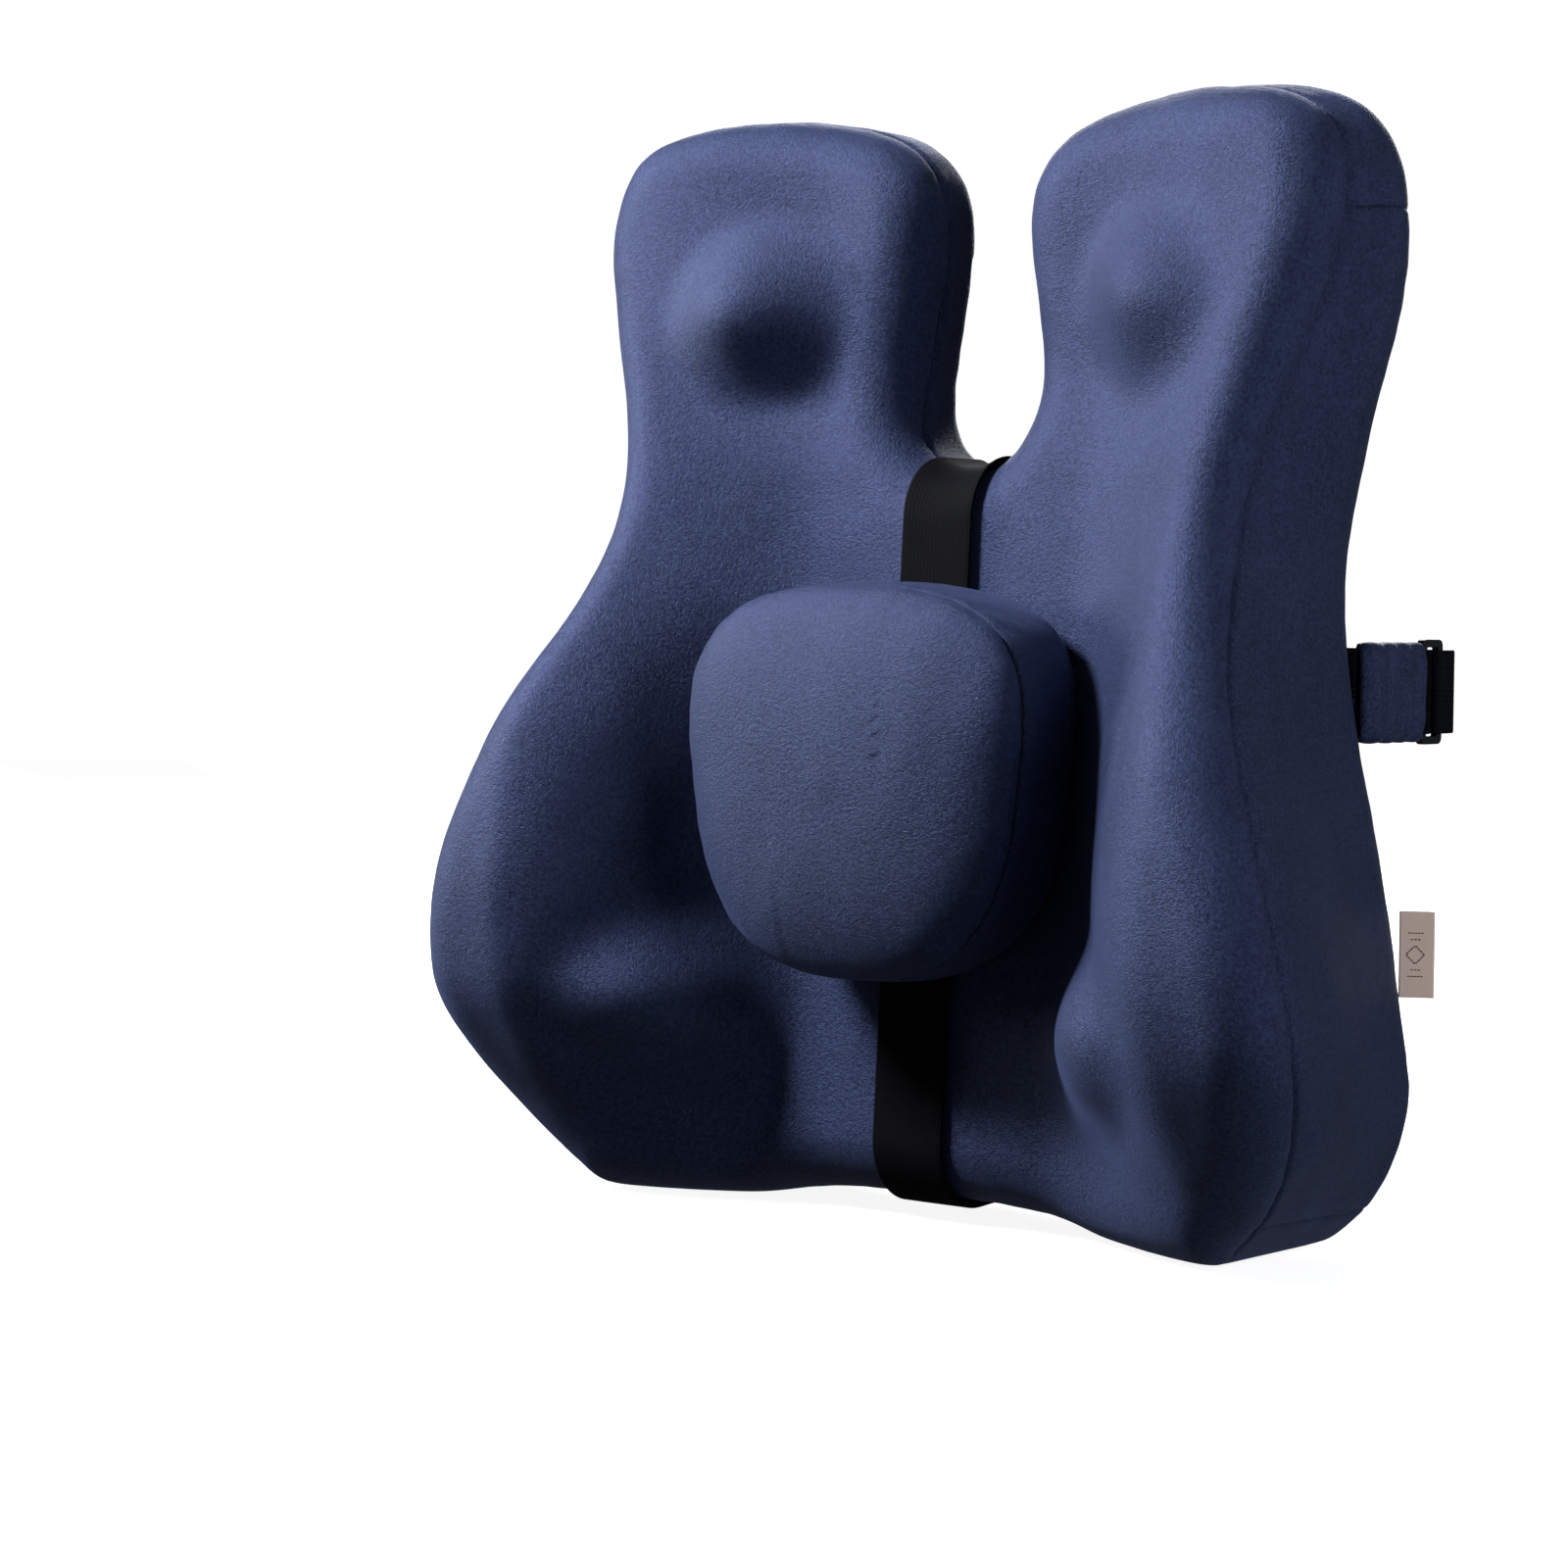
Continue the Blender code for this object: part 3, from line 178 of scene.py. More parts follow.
def fill_loop(loop: Array, within: Array, clear: float, kept: Array | None = None
              ) -> tuple[Array, Array]:
    """Triangles inside a loop, through the points within it that stand clear of it.

    Args:
        loop: the closed outline, (n, 2).
        within: points that the triangles pass through, (m, 2).
        clear: least distance from a point to the outline.
        kept: a second closed outline inside the first, whose edges are kept.

    Returns:
        All points, the loop's first, and triangles turned anticlockwise.
    """
    near = np.min(np.hypot(within[:, None, 0] - loop[None, :, 0],
                           within[:, None, 1] - loop[None, :, 1]), 1)
    n, m = len(loop), 0 if kept is None else len(kept)
    flat = np.concatenate([loop, *([] if kept is None else [kept]),
                           within[inside(within, loop) & (near > clear)]])
    edges = np.stack([np.arange(n), (np.arange(n) + 1) % n], 1).tolist()
    edges += np.stack([n + np.arange(m), n + (np.arange(m) + 1) % max(m, 1)], 1).tolist()
    found = delaunay_2d_cdt([Vector(p) for p in flat.tolist()], edges, [], 0, 1e-7)
    first = np.array([olds[0] for olds in found[3]])
    tris = first[np.array(found[2])]
    tris = tris[inside(flat[tris].mean(1), loop)]
    a, b, c = (flat[tris[:, k]] for k in range(3))
    turned = np.cross(b - a, c - a) < 0
    tris[turned] = tris[turned][:, ::-1]
    return flat, tris


def lattice(low: tuple[float, float], high: tuple[float, float], step: float) -> Array:
    """Points of a triangular lattice: rows step * 0.866 apart, every other one shifted half a step.

    Args:
        low: the rectangle's lowest corner.
        high: its highest corner.
        step: spacing along a row.

    Returns:
        The points, (n, 2).
    """
    rows = np.arange(low[1], high[1], step * math.sqrt(3) / 2)
    across = np.arange(low[0], high[0], step)
    x = across[None, :] + np.where(np.arange(len(rows)) % 2, step / 2, 0.0)[:, None]
    return np.stack([x.ravel(), np.repeat(rows, len(across))], 1)


def drift(points: Array, wave: float, seed: int) -> Array:
    """Gentle unevenness between -1 and 1: a mean of seven sines in fixed mixed directions.

    Args:
        points: places in mm, (n, 3).
        wave: typical wavelength, mm.
        seed: which set of directions and phases.

    Returns:
        One value a point.
    """
    made = np.random.default_rng(seed)
    ways = made.normal(size=(7, 3))
    ways *= (made.uniform(0.6, 1.5, 7) / np.linalg.norm(ways, axis=1))[:, None] * TAU / wave
    return np.sin(points @ ways.T + made.uniform(0, TAU, 7)).mean(1) * 1.6


# ---------------------------------------------------------------- meshes
@dataclass
class Shape:
    """A mesh in local millimetres.

    Attributes:
        points: (n, 3) places.
        faces: arrays of triangles or quads.
        uv: a place in mm for each face corner, in the faces' order, or None.
    """

    points: Array
    faces: list[Array]
    uv: Array | None = None

    def joined(self, other: "Shape") -> "Shape":
        """This shape and another as one mesh."""
        moved = [f + len(self.points) for f in other.faces]
        both = None if self.uv is None or other.uv is None else np.concatenate([self.uv, other.uv])
        return Shape(np.concatenate([self.points, other.points]), self.faces + moved, both)


def normals_of(points: Array, faces: Array) -> Array:
    """Unit normals of a triangle mesh: the sum of the crossed edges of the faces round a point.

    Args:
        points: places, (n, 3).
        faces: triangles.

    Returns:
        A unit direction for each point.
    """
    a, b, c = (points[faces[:, k]] for k in range(3))
    across = np.cross(b - a, c - a)
    out = np.zeros_like(points)
    for k in range(3):
        np.add.at(out, faces[:, k], across)
    return out / np.maximum(np.linalg.norm(out, axis=1, keepdims=True), 1e-9)


def shell(outer: Array, inner: Array, faces: Array) -> Shape:
    """A closed sheet: triangles on the outer points, the same turned on the inner ones, and a rim.

    Args:
        outer: points of the outer side.
        inner: the same points on the inner side.
        faces: triangles of the outer side.

    Returns:
        The closed shape, with only the points in use.
    """
    used, flat = np.unique(faces, return_inverse=True)
    top = flat.reshape(faces.shape)
    n = len(used)
    ends = np.concatenate([top[:, [0, 1]], top[:, [1, 2]], top[:, [2, 0]]])
    open_ends = ends[~np.isin(ends[:, 0] * n + ends[:, 1], ends[:, 1] * n + ends[:, 0])]
    a, b = open_ends.T
    rim = np.stack([b, a, a + n, b + n], 1)
    return Shape(np.concatenate([outer[used], inner[used]]), [top, top[:, ::-1] + n, rim])


def compact(points: Array, faces: Array) -> Shape:
    """The mesh with only the points in use."""
    used, flat = np.unique(faces, return_inverse=True)
    return Shape(points[used], [flat.reshape(faces.shape)])


def tube(rings: Array, along: Array, around: Array) -> Shape:
    """A closed tube through rings of points, with flat ends and a UV in mm.

    Args:
        rings: (n, k, 3) places, each ring going round the same way.
        along: (n,) distance of each ring along the tube.
        around: (k + 1,) distance round the ring, back to its start.

    Returns:
        The tube: point (i, j) is ring i's j-th, quads between neighbours, and an end face each.
    """
    n, k = rings.shape[:2]
    i, j = np.meshgrid(np.arange(n - 1), np.arange(k), indexing="ij")
    i, j = i.ravel(), j.ravel()
    after = (j + 1) % k
    quads = np.stack([i * k + j, i * k + after, (i + 1) * k + after, (i + 1) * k + j], 1)
    corner = np.stack([np.stack([around[j], along[i]], 1), np.stack([around[j + 1], along[i]], 1),
                       np.stack([around[j + 1], along[i + 1]], 1),
                       np.stack([around[j], along[i + 1]], 1)], 1)
    m = k // 2
    a = np.arange(m - 1)
    start = np.stack([a, k - 1 - a, k - 2 - a, a + 1], 1)
    end = start[:, ::-1] + (n - 1) * k
    caps = np.concatenate([start, end])
    flat = np.stack([around[caps % k], along[caps // k]], 2)
    return Shape(rings.reshape(-1, 3), [quads, caps],
                 np.concatenate([corner.reshape(-1, 2), flat.reshape(-1, 2)]))


def strap_section(width: float, thick: float, count: int = 12) -> tuple[Array, Array]:
    """The section of a woven strap: a flat band whose edges are half round, as a closed loop.

    Args:
        width: across the strap.
        thick: through it.
        count: points on each flat side.

    Returns:
        (across, through) places, and the distance round the loop with its return to the start.
    """
    r = thick / 2
    flat = np.linspace(-(width / 2 - r), width / 2 - r, count)
    a = np.linspace(-math.pi / 2, math.pi / 2, 6)[1:-1]
    low = np.stack([flat, np.full(count, -r)], 1)
    right = np.stack([width / 2 - r + r * np.cos(a), r * np.sin(a)], 1)
    loop = np.concatenate([low, right, low[::-1] * (1, -1), right[::-1] * (-1, 1)])
    return loop, run_of(np.vstack([loop, loop[:1]]))


def ribbon(line: Array, across: Array, width: float, thick: float, wave: float = 0.0,
           seed: int = 1) -> Shape:
    """A flat strap along a line: its section carried along, square to the line and to across.

    Args:
        line: (n, 3) middle line.
        across: (3,) direction of the strap's width.
        width: across the strap, mm.
        thick: through it, mm.
        wave: how far its face wanders from flat, mm.
        seed: which wandering.

    Returns:
        The strap as a closed tube with UV.
    """
    section, around = strap_section(width, thick)
    way = np.gradient(line, axis=0)
    way /= np.linalg.norm(way, axis=1, keepdims=True)
    wide = np.broadcast_to(np.asarray(across, float), line.shape)
    face = np.cross(wide, way)
    face /= np.linalg.norm(face, axis=1, keepdims=True)
    rings = (line[:, None] + wide[:, None] * section[None, :, :1]
             + face[:, None] * section[None, :, 1:])
    if wave:
        rings = rings + face[:, None] * (drift(rings.reshape(-1, 3), 26.0, seed) * wave
                                         ).reshape(len(line), -1, 1)
    return tube(rings, run_of(line), around)


def threads(middles: Array, ways: Array, ups: Array, length: float, radius: float) -> Shape:
    """Many short stitches in one mesh: each a spindle, sin-shaped along, lying on the cloth.

    Args:
        middles: (n, 3) centres.
        ways: (n, 3) unit directions of the thread.
        ups: (n, 3) unit directions out of the cloth.
        length: of a stitch.
        radius: of its thickest place.

    Returns:
        The stitches, a few dozen faces each.
    """
    t = np.linspace(-1, 1, 6)
    a = np.arange(6) / 6 * TAU
    thick = radius * np.sqrt(np.maximum(1 - np.abs(t) ** 3, 0.03))
    side = np.cross(ways, ups)
    lift = radius * (0.9 - 0.8 * t**2)
    spots = (middles[:, None, None] + ways[:, None, None] * (t * length / 2)[None, :, None, None]
             + ups[:, None, None] * (lift[:, None] + thick[:, None] * np.sin(a))[None, ..., None]
             + side[:, None, None] * (thick[:, None] * np.cos(a))[None, ..., None])
    one = tube(np.zeros((6, 6, 3)), np.linspace(0, length, 6), np.linspace(0, TAU * radius, 7))
    shift = (np.arange(len(middles)) * 36)[:, None, None]
    faces = [(f[None] + shift).reshape(-1, 4) for f in one.faces]
    uv = np.concatenate([np.tile(part, (len(middles), 1)) for part in
                         (one.uv[:len(one.faces[0]) * 4], one.uv[len(one.faces[0]) * 4:])])
    return Shape(spots.reshape(-1, 3), faces, uv)


def stitch_line(start: Array, end: Array, up: Array, pitch: float, radius: float = 0.28) -> Shape:
    """A straight row of stitches, a pitch apart and each three quarters of it long.

    Args:
        start: where the row starts.
        end: where it ends.
        up: unit direction out of the cloth.
        pitch: from stitch to stitch, about, mm.
        radius: of the thread.

    Returns:
        The stitches as one shape.
    """
    start, end = np.asarray(start, float), np.asarray(end, float)
    far = float(np.linalg.norm(end - start))
    count = max(1, round(far / pitch))
    way = (end - start) / far
    middles = start + way * ((np.arange(count) + 0.5) * far / count)[:, None]
    return threads(middles, np.tile(way, (count, 1)), np.tile(up, (count, 1)), pitch * 0.75, radius)


# ---------------------------------------------------------------- finishes
def linear(code: str) -> tuple[float, float, float, float]:
    """An sRGB hex colour as linear red, green, blue and 1."""
    parts = [int(code[k:k + 2], 16) / 255 for k in (0, 2, 4)]
    return (*[p / 12.92 if p <= 0.04045 else ((p + 0.055) / 1.055) ** 2.4 for p in parts], 1.0)


def add(tree: bpy.types.NodeTree, kind: str, inputs: dict[Any, Any] | None = None,
        **settings: Any) -> bpy.types.Node:
    """Adds one node, sets its properties, and sets or links its inputs.

    Args:
        tree: the node tree.
        kind: the node's type, without the ShaderNode prefix.
        inputs: for each input's name or number, a value or another node's output.
        **settings: the node's own properties.

    Returns:
        The node.
    """
    made = tree.nodes.new("ShaderNode" + kind)
    for key, value in settings.items():
        setattr(made, key, value)
    for key, value in (inputs or {}).items():
        if isinstance(value, bpy.types.NodeSocket):
            tree.links.new(value, made.inputs[key])
        else:
            made.inputs[key].default_value = value
    return made


@dataclass(frozen=True)
class Finish(ABC):
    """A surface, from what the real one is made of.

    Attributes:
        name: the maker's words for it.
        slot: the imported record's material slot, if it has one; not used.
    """

    name: str
    slot: str = ""

    def material(self) -> bpy.types.Material:
        """The finish's material, made once."""
        known = bpy.data.materials.get(self.name)
        if known:
            return known
        made = bpy.data.materials.new(self.name)
        made.use_nodes = True
        shader = made.node_tree.nodes["Principled BSDF"]
        self.wire(made.node_tree, shader)
        return made

    @abstractmethod
    def wire(self, tree: bpy.types.NodeTree, shader: bpy.types.Node) -> None:
        """Adds the nodes of this finish to a new material."""


@dataclass(frozen=True)
class Velvet(Finish):
    """Short polyester plush, warp-knitted, cropped and brushed: a matt ground with a soft rim light.

    The cropped pile stands in little tufts, which lean in patches the size of a hand's touch. That
    gives the eye a speckled grain and slow changes of shade. Real tufts are about half a millimetre
    wide and are drawn coarser here, so that they show.
    """

    ground: str = "161b2c"
    pile: str = "313b57"
    tuft: float = 1.35      # mm, width of a tuft that shows
    nap: float = 46.0       # mm, size of a brushed patch
    sheen: float = 0.22
    grain: float = 0.58     # how strongly the tufts stand out

    def wire(self, tree: bpy.types.NodeTree, shader: bpy.types.Node) -> None:
        """Tufts and nap patches mix the colours; tufts and finer hairs make the bump."""
        place = add(tree, "TexCoord").outputs["Object"]
        tufts = add(tree, "TexNoise", {"Vector": place, "Scale": 1000 / self.tuft, "Detail": 2.5,
                                       "Roughness": 0.6}).outputs["Fac"]
        hairs = add(tree, "TexNoise", {"Vector": place, "Scale": 3200 / self.tuft,
                                       "Detail": 1.0}).outputs["Fac"]
        patch = add(tree, "TexNoise", {"Vector": place, "Scale": 1000 / self.nap, "Detail": 3.0,
                                       "Distortion": 0.6}).outputs["Fac"]
        speck = add(tree, "MapRange", {"Value": tufts, "From Min": 0.3, "From Max": 0.7,
                                       "To Min": 0.5 - self.grain, "To Max": 0.5 + self.grain}).outputs[0]
        lean = add(tree, "MapRange", {"Value": patch, "From Min": 0.3, "From Max": 0.7,
                                      "To Min": -0.16, "To Max": 0.16}).outputs[0]
        share = add(tree, "Math", {0: speck, 1: lean}, operation="ADD", use_clamp=True).outputs[0]
        colour = add(tree, "Mix", {"Factor": share, "A": linear(self.ground),
                                   "B": linear(self.pile)}, data_type="RGBA").outputs["Result"]
        height = add(tree, "Math", {0: tufts, 1: hairs}, operation="ADD").outputs[0]
        bump = add(tree, "Bump", {"Height": height, "Strength": 0.7, "Distance": 0.0006})
        tree.links.new(colour, shader.inputs["Base Color"])
        tree.links.new(bump.outputs[0], shader.inputs["Normal"])
        shader.inputs["Roughness"].default_value = 0.46
        shader.inputs["IOR"].default_value = 1.5
        shader.inputs["Specular IOR Level"].default_value = 0.5
        shader.inputs["Specular Tint"].default_value = linear("9fb0ff")
        shader.inputs["Sheen Weight"].default_value = self.sheen
        shader.inputs["Sheen Roughness"].default_value = 0.42
        shader.inputs["Sheen Tint"].default_value = linear("8f9fdc")


@dataclass(frozen=True)
class Strapping(Finish):
    """Woven or braided narrow goods: ribs run along the strap and picks cross them.

    Light catches the top of each rib, so the strap shows fine lines along its length, and its
    crossing yarns break them into small cells; that light is painted, as a lighter high colour on the
    weave's tops.
    """

    # the weave's colour: high is a painted highlight on the rib tops, low the colour between them
    low: str = "010103"
    high: str = "04060e"
    rib: float = 1.5        # mm from rib to rib
    pick: float = 1.1       # mm from crossing yarn to crossing yarn
    relief: float = 0.35    # mm
    rough: float = 0.8

    def wire(self, tree: bpy.types.NodeTree, shader: bpy.types.Node) -> None:
        """Two sines in strap coordinates, multiplied, make the weave's bump and a painted highlight on its
        tops; noise makes it uneven.
        """
        parts = add(tree, "SeparateXYZ", {0: add(tree, "UVMap", uv_map="UVMap").outputs[0]})
        waves = []
        for across, spacing in zip(parts.outputs, (self.rib, self.pick)):
            angle = add(tree, "Math", {0: across, 1: TAU / spacing}, operation="MULTIPLY").outputs[0]
            waves.append(add(tree, "Math", {0: angle}, operation="SINE").outputs[0])
        rib, pick = waves
        cells = add(tree, "Math", {0: rib, 1: pick, 2: rib}, operation="MULTIPLY_ADD").outputs[0]
        place = add(tree, "TexCoord").outputs["Object"]
        fuzz = add(tree, "TexNoise", {"Vector": place, "Scale": 1800.0, "Detail": 2.0}).outputs["Fac"]
        level = add(tree, "MapRange", {"Value": cells, "From Min": -2.0, "From Max": 2.0}).outputs[0]
        share = add(tree, "Math", {0: level, 1: fuzz}, operation="MULTIPLY").outputs[0]
        # painted highlight: the weave's raised tops get the lighter high colour
        colour = add(tree, "Mix", {"Factor": share, "A": linear(self.low),
                                   "B": linear(self.high)}, data_type="RGBA").outputs["Result"]
        bump = add(tree, "Bump", {"Height": level, "Strength": 0.8, "Distance": self.relief * MM})
        tree.links.new(colour, shader.inputs["Base Color"])
        tree.links.new(bump.outputs[0], shader.inputs["Normal"])
        shader.inputs["Roughness"].default_value = self.rough
        shader.inputs["IOR"].default_value = 1.5
        shader.inputs["Specular IOR Level"].default_value = 0.08


@dataclass(frozen=True)
class Moulded(Finish):
    """Injection-moulded or cast goods with a fine sparked texture from the mould.

    The grit scatters the highlight. Handled edges of the real parts are a little smoother; here the
    roughness only changes slowly from place to place.
    """

    colour: str = "0c0d10"
    worn: str = "17181c"
    grit: float = 0.45      # mm
    rough: float = 0.42
    metal: float = 0.0
    ior: float = 1.48       # acetal

    def wire(self, tree: bpy.types.NodeTree, shader: bpy.types.Node) -> None:
        """Noise of the grit's size makes the bump; a slow noise varies colour and roughness."""
        place = add(tree, "TexCoord").outputs["Object"]
        grit = add(tree, "TexNoise", {"Vector": place, "Scale": 1000 / self.grit,
                                      "Detail": 2.0}).outputs["Fac"]
        slow = add(tree, "TexNoise", {"Vector": place, "Scale": 120.0, "Detail": 3.0}).outputs["Fac"]
        colour = add(tree, "Mix", {"Factor": slow, "A": linear(self.colour),
                                   "B": linear(self.worn)}, data_type="RGBA").outputs["Result"]
        rough = add(tree, "MapRange", {"Value": slow, "From Min": 0.3, "From Max": 0.7,
                                       "To Min": self.rough - 0.07, "To Max": self.rough + 0.07})
        bump = add(tree, "Bump", {"Height": grit, "Strength": 0.35, "Distance": 0.00012})
        tree.links.new(colour, shader.inputs["Base Color"])
        tree.links.new(rough.outputs[0], shader.inputs["Roughness"])
        tree.links.new(bump.outputs[0], shader.inputs["Normal"])
        shader.inputs["Metallic"].default_value = self.metal
        shader.inputs["IOR"].default_value = self.ior


@dataclass(frozen=True)
class Foam(Finish):
    """Slow-recovery polyurethane foam: cream, matt, with open cells under a millimetre wide."""

    colour: str = "e6dcbc"
    # painted shade: the colour laid in the hollows of the open cells
    pore_shade_colour: str = "cdbf97"
    cell: float = 1.4       # mm, drawn a little coarse so that cells show

    def wire(self, tree: bpy.types.NodeTree, shader: bpy.types.Node) -> None:
        """Distance to the nearest cell centre dents the cells and darkens their hollows with painted shade.
        """
        place = add(tree, "TexCoord").outputs["Object"]
        cells = add(tree, "TexVoronoi", {"Vector": place, "Scale": 1000 / self.cell}).outputs["Distance"]
        # painted shade, darkest at each cell's centre where it is dented deepest
        colour = add(tree, "Mix", {"Factor": cells, "A": linear(self.pore_shade_colour),
                                   "B": linear(self.colour)}, data_type="RGBA").outputs["Result"]
        bump = add(tree, "Bump", {"Height": cells, "Strength": 0.5, "Distance": 0.0004})
        tree.links.new(colour, shader.inputs["Base Color"])
        tree.links.new(bump.outputs[0], shader.inputs["Normal"])
        shader.inputs["Roughness"].default_value = 0.95
        shader.inputs["Specular IOR Level"].default_value = 0.2


@dataclass(frozen=True)
class Cloth(Finish):
    """Plain thin cloth, satin or knit: fine crossing yarns with a soft sheen."""

    low: str = "bfbfba"
    high: str = "dcdcd8"
    yarn: float = 0.9       # mm from yarn to yarn
    rough: float = 0.85
    sheen: float = 0.1

    def wire(self, tree: bpy.types.NodeTree, shader: bpy.types.Node) -> None:
        """Crossed sines in object coordinates make the yarns; noise makes them uneven."""
        place = add(tree, "TexCoord").outputs["Object"]
        waves = [add(tree, "TexWave", {"Vector": place, "Scale": 0.314 * 1000 / self.yarn,
                                       "Distortion": 0.4, "Detail": 1.0},
                     bands_direction=way).outputs["Fac"] for way in ("Z", "DIAGONAL")]
        level = add(tree, "Math", {0: waves[0], 1: waves[1]}, operation="MULTIPLY").outputs[0]
        colour = add(tree, "Mix", {"Factor": level, "A": linear(self.low),
                                   "B": linear(self.high)}, data_type="RGBA").outputs["Result"]
        bump = add(tree, "Bump", {"Height": level, "Strength": 0.4, "Distance": 0.0002})
        tree.links.new(colour, shader.inputs["Base Color"])
        tree.links.new(bump.outputs[0], shader.inputs["Normal"])
        shader.inputs["Roughness"].default_value = self.rough
        shader.inputs["Sheen Weight"].default_value = self.sheen


VELVET_FRONT = Velvet("navy_plush_velvet", "navy_velvet_front")
# The gusset, back and pad copies of the front velvet are darker: painted shade.
VELVET_SIDE = Velvet("navy_plush_velvet_gusset", "navy_velvet_side", ground="161b2b", pile="2f3851")
VELVET_BACK = Velvet("navy_plush_velvet_back", "navy_velvet_back", ground="161b2b", pile="2f3851")
VELVET_PAD = Velvet("navy_plush_velvet_pad", "navy_velvet_pad", ground="141a2a", pile="2b344d")
ELASTIC = Strapping("black_braided_elastic", "black_elastic", rib=1.65, pick=0.9, relief=0.25)
WEBBING = Strapping("black_polypropylene_webbing", "black_webbing", low="05060a", high="14161d",
                    rib=2.1, pick=1.4, relief=0.45, rough=0.7)
ZIP_TAPE = Strapping("navy_woven_zip_tape", "zip_tape_navy", low="0c1022", high="1c2340",
                     rib=0.9, pick=0.8, relief=0.15, rough=0.85)
ACETAL = Moulded("black_moulded_acetal", "black_plastic")
ZINC = Moulded("dark_lacquered_zinc", "dark_metal", colour="1a1a1d", worn="3a3a40", rough=0.34,
               metal=1.0, grit=0.3, ior=1.5)
NYLON = Moulded("navy_nylon_coil", "zip_tape_navy", colour="10152a", worn="1a2140", rough=0.38,
                ior=1.53)
PULL_RUBBER = Moulded("black_moulded_pull", "black_pull", colour="07080a", worn="101114",
                      rough=0.5)
FOAM = Foam("cream_memory_foam", "memory_foam")
LINER = Cloth("white_knit_liner", "white_liner")
SATIN = Cloth("beige_satin_label", "beige_label", low="fbdcc6", high="ffeddc", yarn=0.55, rough=0.62,
              sheen=0.25)
INK_THREAD = Cloth("brown_label_thread", "beige_label", low="4a2a22", high="6b4034", yarn=0.3)
NAVY_THREAD = Cloth("navy_sewing_thread", "navy_velvet_back", low="10162c", high="2a3358", yarn=0.3)


# ---------------------------------------------------------------- the workshop
@dataclass
class Workshop:
    """Attributes:
        back_y: where the flat back lies in the frame, m.
    """

    frame: dict[str, Any]
    back_y: float

    def place(self, name: str, shape: Shape, finish: Finish, body: Body,
              stands_for: tuple[str, ...] = ()) -> bpy.types.Object:
        """Makes a piece from a shape, dresses it, and lets it ride on its body.

        Args:
            name: the piece's name.
            shape: its mesh, in local mm.
            finish: its surface.
            body: the body it moves with.
            stands_for: the CAD nodes it replaces.

        Returns:
            The piece.
        """
        mesh = bpy.data.meshes.new(name)
        points = (shape.points * MM + (0.0, self.back_y, 0.0)).tolist()
        mesh.from_pydata(points, [], [face for part in shape.faces for face in part.tolist()])
        if shape.uv is not None:
            layer = mesh.uv_layers.new(name="UVMap")
            layer.data.foreach_set("uv", shape.uv.astype(np.float32).ravel())
        work = bmesh.new()
        work.from_mesh(mesh)
        bmesh.ops.recalc_face_normals(work, faces=work.faces)
        work.to_mesh(mesh)
        work.free()
        mesh.polygons.foreach_set("use_smooth", [True] * len(mesh.polygons))
        made = bpy.data.objects.new(name, mesh)
        bpy.context.collection.objects.link(made)
        return self.dress(made, finish, body, stands_for)

    def dress(self, made: bpy.types.Object, finish: Finish, body: Body,
              stands_for: tuple[str, ...] = ()) -> bpy.types.Object:
        """Gives an object its finish and body, hides the CAD nodes that it stands for, and reports it.

        Args:
            made: the object.
            finish: its surface.
            body: the body it moves with.
            stands_for: the CAD nodes it replaces.

        Returns:
            The same object.
        """
        made.data.materials.clear()
        made.data.materials.append(finish.material())
        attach(made, body.value)
        if stands_for:
            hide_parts(*stands_for)
        LOG.info("%s: %d faces, %s, on %s", made.name, len(made.data.polygons), finish.name,
                 body.value)
        return made

    def softened(self, node: str, name: str, finish: Finish, body: Body,
                 edge: float) -> bpy.types.Object:
        """A moulded node again with rounded edges: its flats joined, its edges bevelled.

        Args:
            node: the CAD node it stands for.
            name: the piece's name.
            finish: its surface.
            body: the body it moves with.
            edge: radius of its edges, mm.

        Returns:
            The piece.
        """
        mesh = self.frame["nodes"][node].data.copy()
        mesh.name = name
        work = bmesh.new()
        work.from_mesh(mesh)
        bmesh.ops.remove_doubles(work, verts=work.verts, dist=0.00002)
        bmesh.ops.dissolve_limit(work, angle_limit=math.radians(1.5), verts=work.verts,
                                 edges=work.edges)
        bmesh.ops.recalc_face_normals(work, faces=work.faces)
        work.to_mesh(mesh)
        work.free()
        made = bpy.data.objects.new(name, mesh)
        bpy.context.collection.objects.link(made)
        bevel = made.modifiers.new("rounded_edges", "BEVEL")
        bevel.width, bevel.segments, bevel.limit_method = edge * MM, 3, "ANGLE"
        bevel.angle_limit, bevel.harden_normals = math.radians(28), False
        mesh.polygons.foreach_set("use_smooth", [True] * len(mesh.polygons))
        smoothing = made.modifiers.new("even_normals", "WEIGHTED_NORMAL")
        smoothing.keep_sharp = True
        return self.dress(made, finish, body, (node,))


